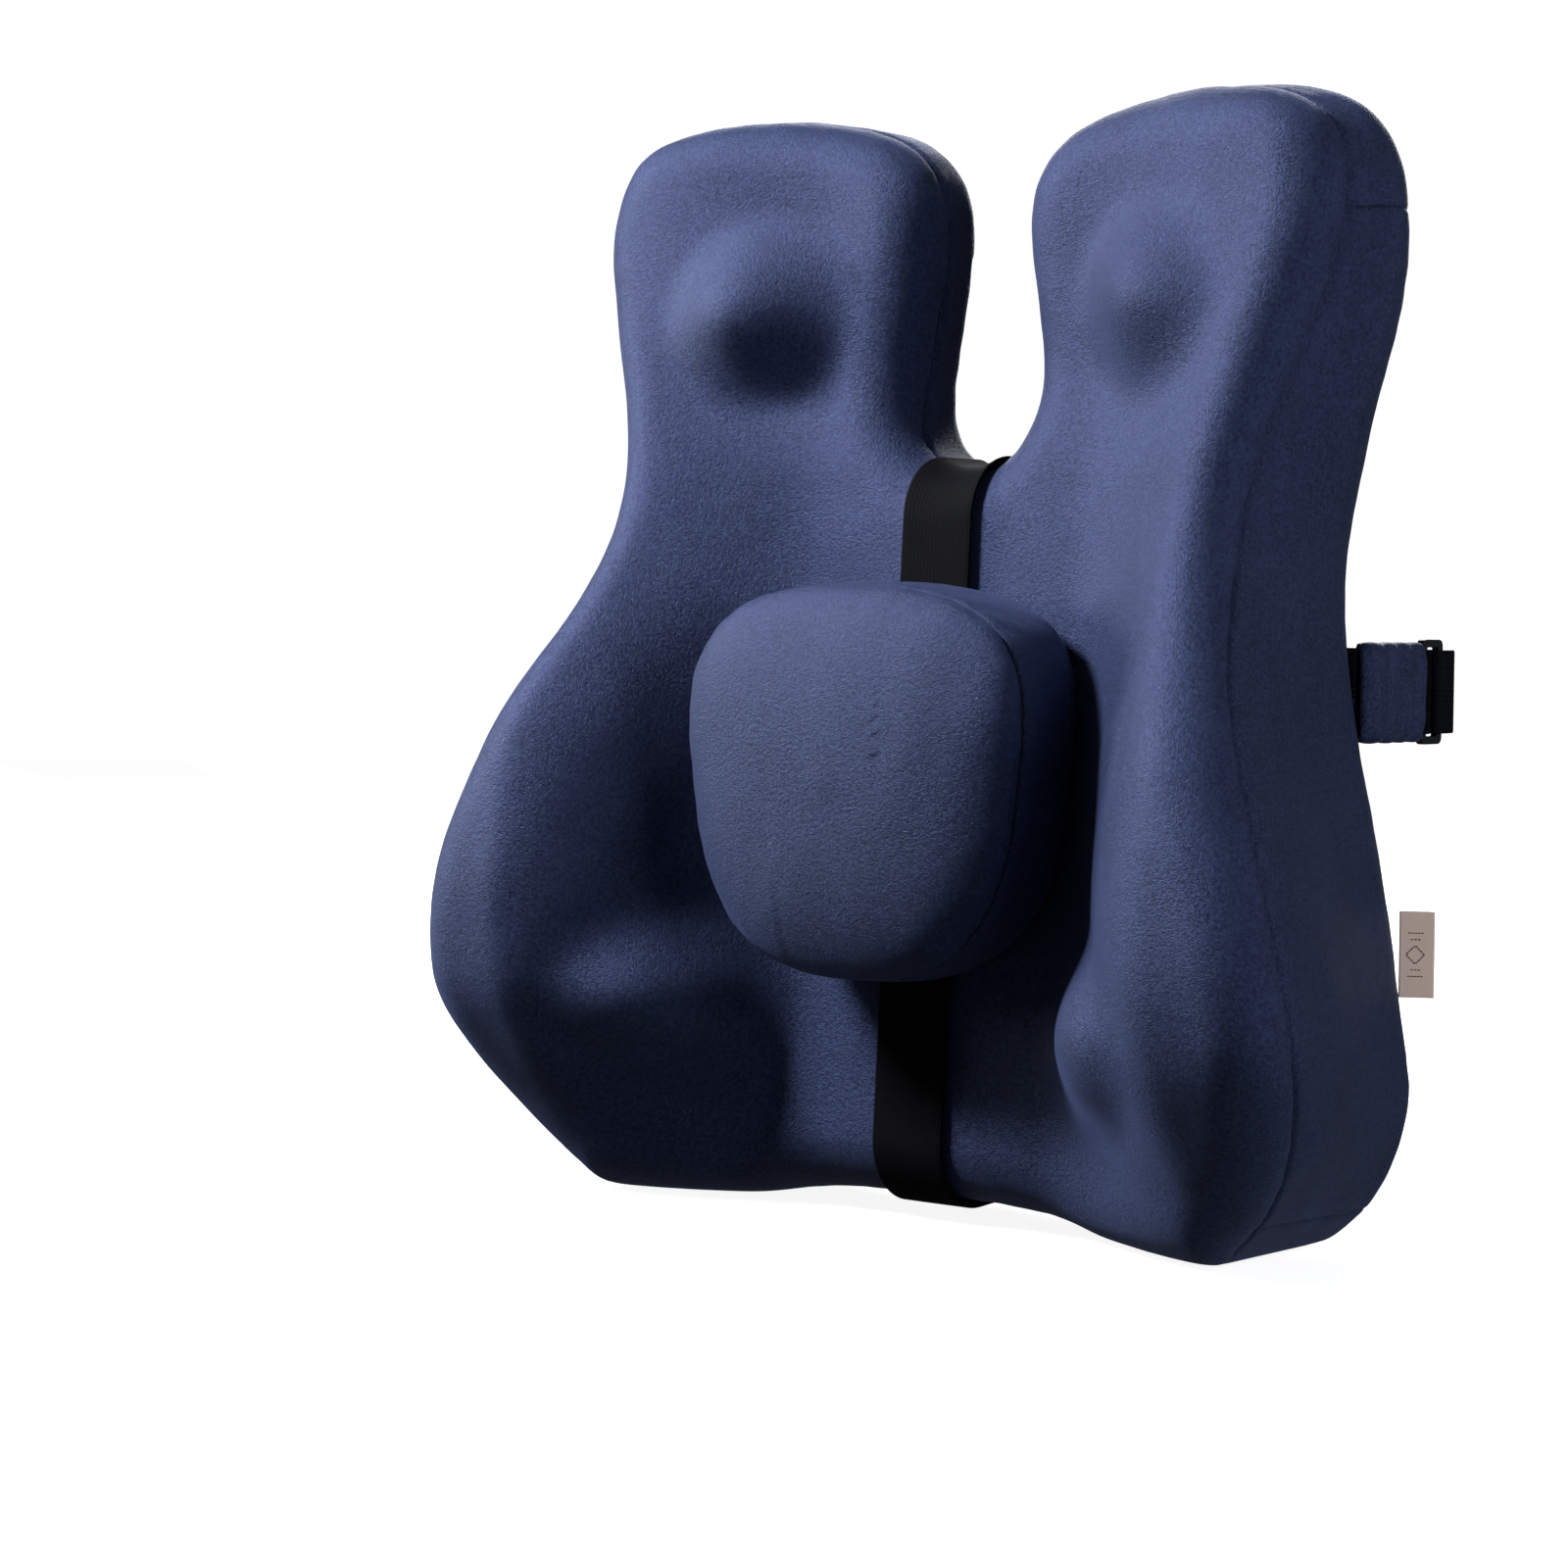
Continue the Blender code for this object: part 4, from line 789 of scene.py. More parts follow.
# ---------------------------------------------------------------- the form everything is sewn round
@dataclass(frozen=True)
class Form:
    """The cushion's outer shape: an outline, a depth over it, and the round edges between.

    Attributes:
        outline: half outline of the back face, control points of a closed cubic spline, (x, z).
        height: nominal height that the depth table is spread over.
        front_round: radius of the front edge.
        fan: the front edge's directions are averaged over this far each way, mm.
        back_round_low: radius of the back edge at the base and in the notch.
        back_round_side: radius of the back edge along the sides.
        depth_at: heights of the tables, as shares of the height.
        wing_depth: depth of the side wings there.
        flare_at: heights of the flare table, as shares of the height.
        wing_flare: how far the wall leans outwards from back to front there.
        wing: the front rises to its wings between these places.
        bumps: middles of the massage bumps on one side, (x, z).
        bump_height: their rise.
        bump_radius: their radius.
        joints: where the gusset strips meet, on one side.
        slot: half length, middle height and half height of the zip's opening.
        middle_base: depth on the middle line at the base.
        middle_fall: how much less that is at the notch.
        notch_height: height of the notch's bottom.
        lobe_fall: how much less again between the lobes.
    """

    outline: tuple[tuple[float, float], ...] = (
        (0.0, 7.0), (64.0, 8.5), (127.0, -17.0), (177.0, 19.0), (188.5, 79.0), (176.0, 142.0),
        (160.0, 206.0), (156.0, 252.0), (166.5, 307.0), (187.6, 368.0), (176.0, 425.0),
        (122.0, 434.0), (52.0, 431.0), (18.0, 405.0), (25.0, 353.0), (36.0, 302.0), (0.0, 282.5))
    height: float = 430.0
    front_round: float = 23.0
    fan: int = 26
    back_round_low: float = 11.0
    back_round_side: float = 26.0
    depth_at: tuple[float, ...] = (0.0, 0.21, 0.42, 0.63, 0.84, 1.02)
    wing_depth: tuple[float, ...] = (98.0, 142.0, 138.0, 97.0, 71.0, 64.0)
    flare_at: tuple[float, ...] = (0.0, 0.21, 0.42, 0.63, 1.02)
    wing_flare: tuple[float, ...] = (-3.0, 16.0, 9.0, -13.0, -5.0)
    bumps: tuple[tuple[float, float], ...] = ((93.0, 353.0), (97.0, 79.0))
    wing: tuple[float, float] = (58.0, 156.0)
    bump_height: float = 20.5
    bump_radius: float = 43.0
    joints: tuple[tuple[float, float], ...] = ((168.0, 12.0), (182.0, 384.0))
    slot: tuple[float, float, float] = (156.0, 32.0, 7.0)
    middle_base: float = 72.0
    middle_fall: float = 16.0
    notch_height: float = 283.0
    lobe_fall: float = 9.0

    def middle(self, z: Array) -> Array:
        """Depth on the middle line: a straight fall from the base to the notch, then an S-curve."""
        share = np.minimum(np.asarray(z, float), self.notch_height) / self.notch_height
        return (self.middle_base - self.middle_fall * share
                - self.lobe_fall * smooth(self.notch_height, self.notch_height + 57.0, z))

    def depth(self, x: Array, z: Array, bumps: bool = True) -> Array:
        """Depth of the front face: the middle's, blended to the wing's, plus a cosine hill a bump.

        Args:
            x: places across.
            z: their heights.
            bumps: whether the massage bumps are counted.

        Returns:
            How far the face stands in front of the back, mm.
        """
        x, z = np.asarray(x, float), np.asarray(z, float)
        middle = self.middle(z)
        wing = smooth_table(z / self.height, self.depth_at, self.wing_depth)
        deep = middle + (wing - middle) * smooth(*self.wing, np.abs(x))
        for bx, bz in self.bumps if bumps else ():
            r = np.minimum(np.hypot(np.abs(x) - bx, z - bz) / self.bump_radius, 1.0)
            deep = deep + self.bump_height * (0.5 + 0.5 * np.cos(np.pi * r))
        return deep

    def curve(self) -> tuple[Array, Array]:
        """The closed outline, 2400 points from the base's middle, and its outward directions.

        The height is (z + sqrt(z^2 + 9)) / 2, which settles the foot softly on the floor.
        """
        half = np.array(self.outline)
        control = np.vstack([half, half[1:-1][::-1] * (-1, 1)])
        t = np.arange(2400) / 2400 * len(control)
        k, f = np.floor(t).astype(int), (t % 1)[:, None]
        weights = ((1 - f) ** 3 / 6, (3 * f**3 - 6 * f**2 + 4) / 6,
                   (-3 * f**3 + 3 * f**2 + 3 * f + 1) / 6, f**3 / 6)
        line = sum(w * control[(k + j - 1) % len(control)] for j, w in enumerate(weights))
        line[:, 1] = (line[:, 1] + np.sqrt(line[:, 1] ** 2 + 9)) / 2
        way = np.roll(line, -2, 0) - np.roll(line, 2, 0)
        way /= np.linalg.norm(way, axis=1, keepdims=True)
        return line, np.stack([way[:, 1], -way[:, 0]], 1)

    def edge_height(self, x: Array, top: bool) -> Array:
        """Height of the outline near the middle.

        Args:
            x: places across, less than 45 mm from the middle.
            top: the notch's bottom if true, the base's arch if not.

        Returns:
            The outline's height at each place.
        """
        line, _ = self.curve()
        middle = line[len(line) // 2 if top else 0]
        near = line[np.hypot(*(line - middle).T) < 45]
        order = np.argsort(near[:, 0])
        return np.interp(x, near[order, 0], near[order, 1])

    def side_seam(self, z: float) -> Array:
        """Where the back seam of the right side passes a height.

        Args:
            z: the height.

        Returns:
            The place in plan, (x, y).
        """
        line, _ = self.curve()
        side = line[:len(line) // 2]
        outer = side[side[:, 0] > 100]
        order = np.argsort(outer[:, 1])
        edge = self.back_round_side * (1 - math.cos(math.pi / 4))
        return np.array([np.interp(z, outer[order, 1], outer[order, 0]) - edge, -edge])

    def columns(self, step: float, fine: bool) -> tuple[Array, Array, Array, Array, Array]:
        """Places round the outline a step apart, crowded at the gusset's joints when fine.

        Args:
            step: spacing, mm.
            fine: whether the joints get their own columns.

        Returns:
            Places, outward directions, the same averaged along the outline, which shortens them at
            tight corners, distance to the nearest joint, and the gusset strip after each place
            (0 base, 1 right, 2 top, 3 left, -1 the joint itself).
        """
        line, out = self.curve()
        run = np.concatenate([[0], np.cumsum(np.linalg.norm(np.roll(line, -1, 0) - line, axis=1))])
        total = run[-1]
        half = line[:len(line) // 2]
        spots = [run[int(np.argmin(np.hypot(*(half - want).T)))] for want in self.joints]
        joints = np.sort([*spots, *[total - s for s in spots]])
        at = np.arange(round(total / step)) * total / round(total / step)
        if fine:
            at = at[np.abs(at[:, None] - joints).min(1) > 6.2]
            beside = np.concatenate([-SEAM_STEPS, SEAM_STEPS])
            at = np.sort(np.concatenate([at, (joints[:, None] + beside).ravel()]))
        nexts = np.append(at[1:], at[0] + total)
        strip = np.searchsorted(joints, (at + nexts) / 2) % 4
        strip[nexts - at < 0.2] = -1
        even = np.arange(0, total, 1.0)
        slow = np.stack([np.interp(even, run, np.append(v, v[0])) for v in out.T], 1)
        slow = sum(np.roll(slow, k, 0) for k in range(-self.fan, self.fan + 1))
        slow /= 2 * self.fan + 1
        both = [np.stack([np.interp(at, way, np.append(v[:, k], v[0, k])) for k in (0, 1)], 1)
                for way, v in ((run, line), (run, out), (np.append(even, total), slow))]
        both[1] /= np.linalg.norm(both[1], axis=1, keepdims=True)
        return both[0], both[1], both[2], np.abs(at[:, None] - joints).min(1), strip

    def surface(self, step: float, grid: float, fine: bool) -> "Surface":
        """The whole closed surface: rings from the front, over the edge, down the wall, to the back.

        The front edge is a quarter circle of the front round, the back one of the back round, and
        the wall between leans by an S-curve. The depth over the front edge is taken at
        inner + out * R * (t - t^2 / 2), with t the share of the way out, so the face's slope dies
        away smoothly.

        Args:
            step: spacing of the columns.
            grid: spacing of the lattice on the front face.
            fine: whether seams get their own rows.

        Returns:
            The surface with what each face and point is.
        """
        place, out, slow, to_joint, strip = self.columns(step, fine)
        n = len(place)
        near = SEAM_STEPS if fine else SEAM_STEPS[-1:]
        big = self.front_round
        x, z = np.abs(place[:, 0]), place[:, 1]
        slow = out + (slow - out) * (smooth(70, 120, x) * (1 - smooth(90, 150, z)))[:, None]
        rb = self.back_round_low + ((self.back_round_side - self.back_round_low)
                                    * smooth(60, 130, x) * smooth(45, 100, z))
        flare = smooth_table(z / self.height, self.flare_at, self.wing_flare)
        lean = out * (flare * smooth(60, 130, x) * np.abs(out[:, 0]))[:, None]
        lean[:, 1] *= smooth(0, 6, z)
        inner = place + lean - slow * big

        def ring(leaning: Array, inset: Array, y: Array, way: Array = out) -> Array:
            """Rings of places: the outline plus lean times leaning, minus way times inset.

            Args:
                leaning: share of the lean, one a ring.
                inset: how far in from the outline.
                y: how far behind the back plane.
                way: directions of the inset.

            Returns:
                Places, (rings, columns, 3).
            """
            at = (place + lean * np.reshape(leaning, (-1, n, 1))
                  - way * np.reshape(inset, (-1, n, 1)))
            return np.stack([at[..., 0], np.broadcast_to(y, at.shape[:2]), at[..., 1]], 2)

        rim_rows = np.linspace(math.pi / 2 * big, near[-1] + 3, 10 if fine else 5)
        s_front = s = np.concatenate([rim_rows, near[::-1]])
        a = (s / big)[:, None] * np.ones(n)
        t = np.cos(a)[..., None]
        spot = inner + slow * big * (t - t**2 / 2)
        deep = self.depth(spot[..., 0], spot[..., 1], bumps=False)
        front = ring(np.ones_like(a), big * (1 - np.cos(a)), -deep + big * (1 - np.sin(a)), slow)
        deep = self.depth(*(inner + slow * big / 2).T, bumps=False)
        wall = deep - big - rb
        length = wall + rb * math.pi / 4
        mid = np.linspace(0, 1, 26 if fine else 10)[1:-1, None] * (length - 2 * near[-1]) + near[-1]
        s = np.concatenate([near[:, None] * np.ones(n), mid, length - near[::-1, None]])
        share = np.clip(s / wall, 0, 1)
        a = np.maximum(s - wall, 0) / rb
        bulge = 1.6 * np.sin(np.pi * s / length) * smooth(60, 130, x) * smooth(10, 60, z)
        side = ring(1 - smooth(0, 1, share), rb * (1 - np.cos(a)) - bulge,
                    np.where(s < wall, s - deep + big, rb * np.sin(a) - rb))
        s_wall = np.minimum(s, length - s)
        arc = rb * math.pi / 4
        s = np.concatenate([near[:, None] * np.ones(n),
                            near[-1] + np.linspace(0, 1, 5)[1:, None] * (arc - near[-1])])
        a = math.pi / 4 + s / rb
        back = ring(np.zeros_like(a), rb * (1 - np.cos(a)), rb * np.sin(a) - rb)
        rings = np.concatenate([front, side, back])
        ends = np.cumsum([len(front), len(side), len(back)])
        levels = ends[2]
        r, i = np.meshgrid(np.arange(levels - 1), np.arange(n), indexing="ij")
        r, i = r.ravel(), i.ravel()
        j = (i + 1) % n
        a, b, c, d = r * n + i, r * n + j, (r + 1) * n + j, (r + 1) * n + i
        zone = np.select([r < ends[0] - 1, r == ends[0] - 1, r < ends[1] - 1, r == ends[1] - 1],
                         [Zone.FRONT.value, Zone.SEAM.value, Zone.WALL.value, Zone.SEAM.value],
                         Zone.BACK.value)    # one a quad, by the ring that it starts from
        seam = np.concatenate([np.tile(s_front[:, None], n), s_wall, s]).ravel()
        low, high = (-215.0, -5.0), (215.0, 440.0)
        flat, tris = fill_loop(rings[0][:, [0, 2]], lattice(low, high, grid), grid * 0.5)
        more = flat[n:]
        face_points = np.stack([more[:, 0], -self.depth(*more.T), more[:, 1]], 1)
        where = np.concatenate([np.arange(n), levels * n + np.arange(len(more))])
        long, mid_z, tall = self.slot
        rim = np.concatenate([self.edge(long, mid_z, tall, grow) for grow in (0.0, 1.3, 3.0)])
        hole = len(rim) // 3
        spread = lattice(low, high, grid * (2.2 if fine else 1.3))
        away = np.maximum(np.abs(spread[:, 0]) - long, np.abs(spread[:, 1] - mid_z) - tall) > 4.5
        flat2, tris2 = fill_loop(rings[-1][:, [0, 2]], np.concatenate([rim[hole:], spread[away]]),
                                 grid * 0.7, rim[:hole])
        more2 = flat2[n:]
        where2 = np.concatenate([(levels - 1) * n + np.arange(n),
                                 levels * n + len(more) + np.arange(len(more2))])
        in_slot = inside(flat2[tris2].mean(1), rim[:hole])
        back_points = np.stack([more2[:, 0], np.zeros(len(more2)), more2[:, 1]], 1)
        faces = np.concatenate([np.stack([a, c, b], 1), np.stack([a, d, c], 1), where[tris],
                                where2[tris2][:, ::-1]])
        zones = np.concatenate([zone, zone, np.full(len(tris), Zone.FRONT.value),
                                np.where(in_slot, Zone.SLOT.value, Zone.BACK.value)])
        strips = np.concatenate([strip[i], strip[i], np.zeros(len(tris) + len(tris2), int)])
        outside = np.hypot(np.maximum(np.abs(more2[:, 0]) - long, 0),
                           np.maximum(np.abs(more2[:, 1] - mid_z) - tall, 0))
        seam = np.concatenate([seam, np.full(len(more), FAR), outside + 0.4])
        joint = np.full(len(seam), FAR)
        joint[ends[0] * n:ends[1] * n] = np.tile(to_joint, ends[1] - ends[0])
        return Surface(np.concatenate([rings.reshape(-1, 3), face_points, back_points]), faces,
                       zones, strips, seam, joint)

    @staticmethod
    def edge(half: float, mid: float, tall: float, grow: float) -> Array:
        """A rectangle's outline in steps of about 3 mm, anticlockwise from its lowest left corner.

        Args:
            half: half its length.
            mid: height of its middle.
            tall: half its height.
            grow: how much further out every side lies.

        Returns:
            The outline's points, (n, 2).
        """
        x0, x1, z0, z1 = -half - grow, half + grow, mid - tall - grow, mid + tall + grow
        across, up = np.linspace(x0, x1, 106)[:-1], np.linspace(z0, z1, 8)[:-1]
        return np.concatenate([np.column_stack([across, np.full(len(across), z0)]),
                               np.column_stack([np.full(len(up), x1), up]),
                               np.column_stack([x0 + x1 - across, np.full(len(across), z1)]),
                               np.column_stack([np.full(len(up), x0), z0 + z1 - up])])


@dataclass
class Surface:
    """A closed padded surface, and what each of its faces and points is.

    Attributes:
        points: places.
        faces: triangles, facing out.
        zone: the Zone value of each face.
        strip: the gusset strip of each face.
        seam: distance from each point to the nearest seam, mm.
        joint: distance from each gusset point to the nearest joint between strips, mm.
    """

    points: Array
    faces: Array
    zone: Array
    strip: Array
    seam: Array
    joint: Array

    def tailored(self, groove: float, seed: int) -> tuple[Array, Array]:
        """The surface as sewn cloth over foam: pulled in along seams, puckered there, a little uneven.

        Each point moves along its normal by minus the groove times a bell 1.3 mm wide round the
        seam, plus puckers that die away over 9 mm, plus slow unevenness.

        Args:
            groove: depth of the pull at a seam.
            seed: which unevenness.

        Returns:
            The moved points and their normals.
        """
        normals = normals_of(self.points, self.faces)
        near = np.minimum(self.seam, self.joint + 4.0)
        move = (-groove * np.exp(-(self.seam / 1.3) ** 2) - 0.5 * np.exp(-(self.joint / 0.9) ** 2)
                - 0.9 * np.exp(-near / 5.5)
                + 0.42 * np.exp(-near / 9) * drift(self.points, 13, seed)
                + 0.34 * drift(self.points, 42, seed + 1) + 0.5 * drift(self.points, 95, seed + 2))
        still = smooth(0.0, 12.0, self.points[:, 2]) * (1 - 0.6 * (np.abs(self.points[:, 0]) < 24))
        moved = self.points + normals * (move * np.maximum(still, 0.15))[:, None]
        moved[:, 2] = np.maximum(moved[:, 2], 0.0)
        return moved, normals


# ---------------------------------------------------------------- the cushion
@dataclass
class Cushion:
    """Velvet cover in six panels over a knitted liner over one block of foam.

    Attributes:
        shop: where pieces are placed.
        form: the outer shape.
        cover: thickness of the velvet with its backing.
        liner: thickness of the liner.
        gap: clearance between layers.
        squeeze: how much further in the filling stays, so that the seams can pull in.
        columns: spacing of the rows down the wall.
        grid: spacing of the lattice on the front face.
    """

    shop: Workshop
    form: Form
    cover: float = 1.6
    liner: float = 0.8
    gap: float = 0.4
    squeeze: float = 1.8
    columns: float = 2.2
    grid: float = 3.2

    def build(self) -> None:
        """Builds the foam, the liner and the six panels."""
        self.build_inside()
        skin = self.form.surface(self.columns, self.grid, fine=True)
        outer, normals = skin.tailored(1.5, 11)
        inner = outer - normals * self.cover
        inner[:, 2] = np.maximum(inner[:, 2], outer[:, 2])
        on_floor = (outer[:, 2:] <= 0.01) & (normals[:, 2:] < -0.4)
        inner = np.where(on_floor, outer + (0, 0, self.cover), inner)
        wall = (skin.zone == Zone.WALL.value)
        panels = {
            "cover_front": (skin.zone == Zone.FRONT.value, VELVET_FRONT, "cover_front_panel"),
            "cover_back": (skin.zone == Zone.BACK.value, VELVET_BACK, "cover_back_panel"),
            "gusset_base": (wall & (skin.strip == 0), VELVET_SIDE, "cover_gusset_base"),
            "gusset_right": (wall & (skin.strip == 1), VELVET_SIDE, "cover_gusset_right"),
            "gusset_top": (wall & (skin.strip == 2), VELVET_SIDE, "cover_gusset_top"),
            "gusset_left": (wall & (skin.strip == 3), VELVET_SIDE, "cover_gusset_left"),
        }
        for name, (chosen, finish, node) in panels.items():
            panel = shell(outer, inner, skin.faces[chosen])
            made = self.shop.place(name, panel, finish, Body.CUSHION, (node,))

    def build_inside(self) -> None:
        """The foam block and the liner round it, each a set distance inside the cover."""
        skin = self.form.surface(7.0, 9.0, fine=False)
        points, normals = skin.tailored(0.0, 11)
        first = self.cover + self.gap + self.squeeze
        liner = shell(points - normals * first, points - normals * (first + self.liner),
                      skin.faces[skin.zone != Zone.SLOT.value])
        made = self.shop.place("liner", liner, LINER, Body.CUSHION, ("inner_liner",))
        core = points - normals * (first + self.liner + self.gap)
        made = self.shop.place("foam_block", compact(core, skin.faces), FOAM, Body.CUSHION,
                               ("foam_core",))


# ---------------------------------------------------------------- the zip
@dataclass
class Zip:
    """Coil zip across the bottom of the back, with a slider that runs its whole length.

    Attributes:
        shop: where pieces are placed.
        half: half the length of the tapes.
        z: height of its middle.
        pitch: of the coil.
        wire: radius of the coil's monofilament.
        sewn: half length of the stitching beside it.
        stitch_off: how far above and below its middle the stitching runs.
    """

    shop: Workshop
    half: float = 155.6
    z: float = 32.0
    pitch: float = 1.5
    wire: float = 0.34
    sewn: float = 153.0
    stitch_off: float = 9.2

    def build(self) -> None:
        """Tapes, coil, stops, slider and pull."""
        x = np.linspace(-self.half, self.half, 160)
        for name, node, sign in (("zip_tape_top", "zip_tape_upper", 1),
                                 ("zip_tape_foot", "zip_tape_lower", -1)):
            line = np.stack([x, np.full_like(x, -0.8), np.full_like(x, self.z + sign * 4.25)], 1)
            tape = ribbon(line, (0, 0, 1), 4.7, 0.8, 0.05, 3)
            self.shop.place(name, tape, ZIP_TAPE, Body.CUSHION, (node,))
        coils = self.coil(0.62, 0.0).joined(self.coil(-0.62, 0.5))
        self.shop.place("zip_coils", coils, NYLON, Body.CUSHION, ("zip_coil",))
        for name, node in (("zip_end_closed", "zip_stop_closed"), ("zip_end_open", "zip_stop_open")):
            self.shop.softened(node, name, ZINC, Body.CUSHION, 0.3)
        self.shop.softened("zip_slider", "zip_slider_body", ZINC, Body.SLIDER, 0.25)
        self.shop.softened("zip_pull", "zip_pull_tab", PULL_RUBBER, Body.PULL, 0.3)
        up = (0.0, 1.0, 0.0)
        rows = [stitch_line((-self.sewn, 0.12, z), (self.sewn, 0.12, z), up, 3.0, 0.22)
                for z in (self.z - self.stitch_off, self.z + self.stitch_off)]
        self.shop.place("zip_stitching", rows[0].joined(rows[1]), NAVY_THREAD, Body.CUSHION)

    def coil(self, off: float, phase: float) -> Shape:
        """One helix along x: z = off + 0.85 cos, y = 0.5 sin, with a wire of five sides.

        Args:
            off: how far above the zip's middle it lies.
            phase: where its first turn starts, as a share of a turn.

        Returns:
            The coil as a closed tube.
        """
        length = self.half - 4.0
        turns = 2 * length / self.pitch
        t = np.linspace(0, turns, int(turns * 7))
        a = TAU * (t + phase)
        line = np.stack([-length + t * self.pitch, 0.1 + 0.5 * np.sin(a),
                         self.z + off + 0.85 * np.cos(a)], 1)
        way = np.gradient(line, axis=0)
        way /= np.linalg.norm(way, axis=1, keepdims=True)
        radial = np.stack([np.zeros_like(a), np.sin(a), np.cos(a)], 1)
        side = np.cross(way, radial)
        b = np.arange(5) / 5 * TAU
        rings = line[:, None] + self.wire * (radial[:, None] * np.cos(b)[None, :, None]
                                             + side[:, None] * np.sin(b)[None, :, None])
        return tube(rings, run_of(line), np.linspace(0, TAU * self.wire, 6))


# ---------------------------------------------------------------- the pad and its elastic
@dataclass
class Pad:
    """Small lumbar pad that slides up and down on a flat elastic sewn into the cover's back seam.

    Attributes:
        shop: where pieces are placed.
        form: the cushion's shape.
        width: of the pad.
        height: of the pad.
        deep: from its base to its crown.
        edge: least height of its side, over the wings.
        centre: height of its middle.
        slide: how far it slides down and up.
        cover: thickness of its fabric.
        gap: between fabric and foam.
        squeeze: how much further in the foam stays, so that the seams can pull in.
        strap_width: of the elastic.
        strap_thick: of the elastic.
        rim: height of the front seam, as a share of the depth.
        lift: how far the pad's back stands off the middle of the cushion's face.
    """

    shop: Workshop
    form: Form
    width: float = 154.0
    height: float = 149.0
    deep: float = 64.0
    edge: float = 13.0
    centre: float = 170.5
    slide: tuple[float, float] = (-20.0, 40.0)
    cover: float = 1.6
    gap: float = 0.4
    squeeze: float = 2.0
    strap_width: float = 33.0
    strap_thick: float = 1.5
    rim: float = 0.66
    lift: float = 3.8

    def build(self) -> None:
        """Foam, three panels, tunnel and the elastic."""
        self.build_pad()
        self.build_tunnel()
        self.build_strap()

    def back_depth(self, x: Array, z: Array) -> Array:
        """Where the pad's back stands: clear of the cushion at every height that it slides to.

        It is the greater of a plane on the middle line and the deepest place that the cushion's
        face reaches behind the pad on its way, with more room beside the elastic.

        Args:
            x: places across.
            z: their heights.

        Returns:
            Distance in front of the cushion's back, mm.
        """
        slope = -self.form.middle_fall / self.form.notch_height
        deep = np.full(np.shape(x), -1e9)
        for move in np.linspace(*self.slide, 13):
            deep = np.maximum(deep, self.form.depth(x, z + move) - slope * move)
        plane = float(self.form.depth(0.0, 0.0, False)) + slope * z
        return np.maximum(plane + self.lift, deep + 0.8 + 2.8 * smooth(24, 42, np.abs(x)))

    def outline(self, angle: Array, share: Array) -> tuple[Array, Array]:
        """A rounded shield: cosine and sine to a power below 1, wider above the middle.

        Args:
            angle: round the pad.
            share: of the way from its middle to its edge.

        Returns:
            Places across and heights.
        """
        c, s = np.cos(angle), np.sin(angle)
        power = 0.72 + 0.28 * (1 - np.minimum(share, 1.0)) ** 1.5
        cx, cz = np.sign(c) * np.abs(c) ** power, np.sign(s) * np.abs(s) ** power
        return (share * self.width / 2 * cx * (1 + 0.13 * cz * share),
                self.centre + share * self.height / 2 * cz)

    def build_pad(self) -> None:
        """The pad as rings from the middle of its back, round its side, to the crown of its front.

        The front rises over its seam by (1 - share^2.6)^0.45 of the crown's height, so it leaves
        the seam straight up and flattens towards the middle.
        """
        around = 260
        angle = np.arange(around) / around * TAU
        base = float(self.form.depth(0.0, self.centre, False)) + self.lift
        back_share = np.array([0.08, 0.2, 0.33, 0.46, 0.58, 0.69, 0.78, 0.85, 0.9, 0.935, 0.962,
                               0.98, 0.988])
        back_lift = 4.5 * smooth(0.93, 0.99, back_share)
        side = np.concatenate([[0.02, 0.04, 0.07, 0.12], np.linspace(0.18, 0.82, 12),
                               [0.88, 0.93, 0.96, 0.985]])
        crown = np.minimum(1 - np.linspace(0, 1, 34)[1:-1] ** 2, 0.9995)
        rings, seam, zone = [], [], []
        front_seam = self.ring_at(angle, 1.0, self.rim, base)
        x, z = self.outline(angle, np.full(around, 0.99))
        back_seam = np.stack([x, -(self.back_depth(x, z) + 4.8), z], 1)
        for share, lift in zip(back_share, back_lift):
            x, z = self.outline(angle, np.full(around, share))
            rings.append(np.stack([x, -(self.back_depth(x, z) + lift), z], 1))
            seam.append((0.99 - share) * self.width / 2 + 0.1)
            zone.append(Zone.BACK.value)
        zone[-1] = Zone.SEAM.value
        for f in side:
            rings.append(back_seam * (1 - f) + front_seam * f)
            bow = 1.3 * math.sin(math.pi * f)
            out = rings[-1][:, [0, 2]] - (0.0, self.centre)
            rings[-1][:, [0, 2]] += out / np.linalg.norm(out, axis=1, keepdims=True) * bow
            seam.append(min(f, 1 - f) * 30)
            zone.append(Zone.WALL.value)
        zone[-1] = Zone.SEAM.value
        for share in crown:
            level = self.rim + 0.008 + (0.992 - self.rim) * (1 - share**2.6) ** 0.45
            rings.append(self.ring_at(angle, share, level, base))
            seam.append((level - self.rim) * self.deep * 0.6 + (1 - share) * self.width / 3)
            zone.append(Zone.FRONT.value)
        seam = np.repeat(np.array(seam), around)
        levels = len(rings)
        centre_back = [0.0, -float(self.back_depth(0.0, self.centre)), self.centre]
        centre_front = [0.0, -(base + self.deep), self.centre]
        points = np.concatenate([*rings, [centre_back], [centre_front]])
        r, i = np.meshgrid(np.arange(levels - 1), np.arange(around), indexing="ij")
        r, i = r.ravel(), i.ravel()
        j = (i + 1) % around
        a, b, c, d = r * around + i, r * around + j, (r + 1) * around + j, (r + 1) * around + i
        k = np.arange(around)
        last = (levels - 1) * around
        faces = np.concatenate([
            np.stack([a, b, c], 1), np.stack([a, c, d], 1),
            np.stack([(k + 1) % around, k, np.full(around, levels * around)], 1),
            np.stack([last + k, last + (k + 1) % around, np.full(around, levels * around + 1)], 1)])
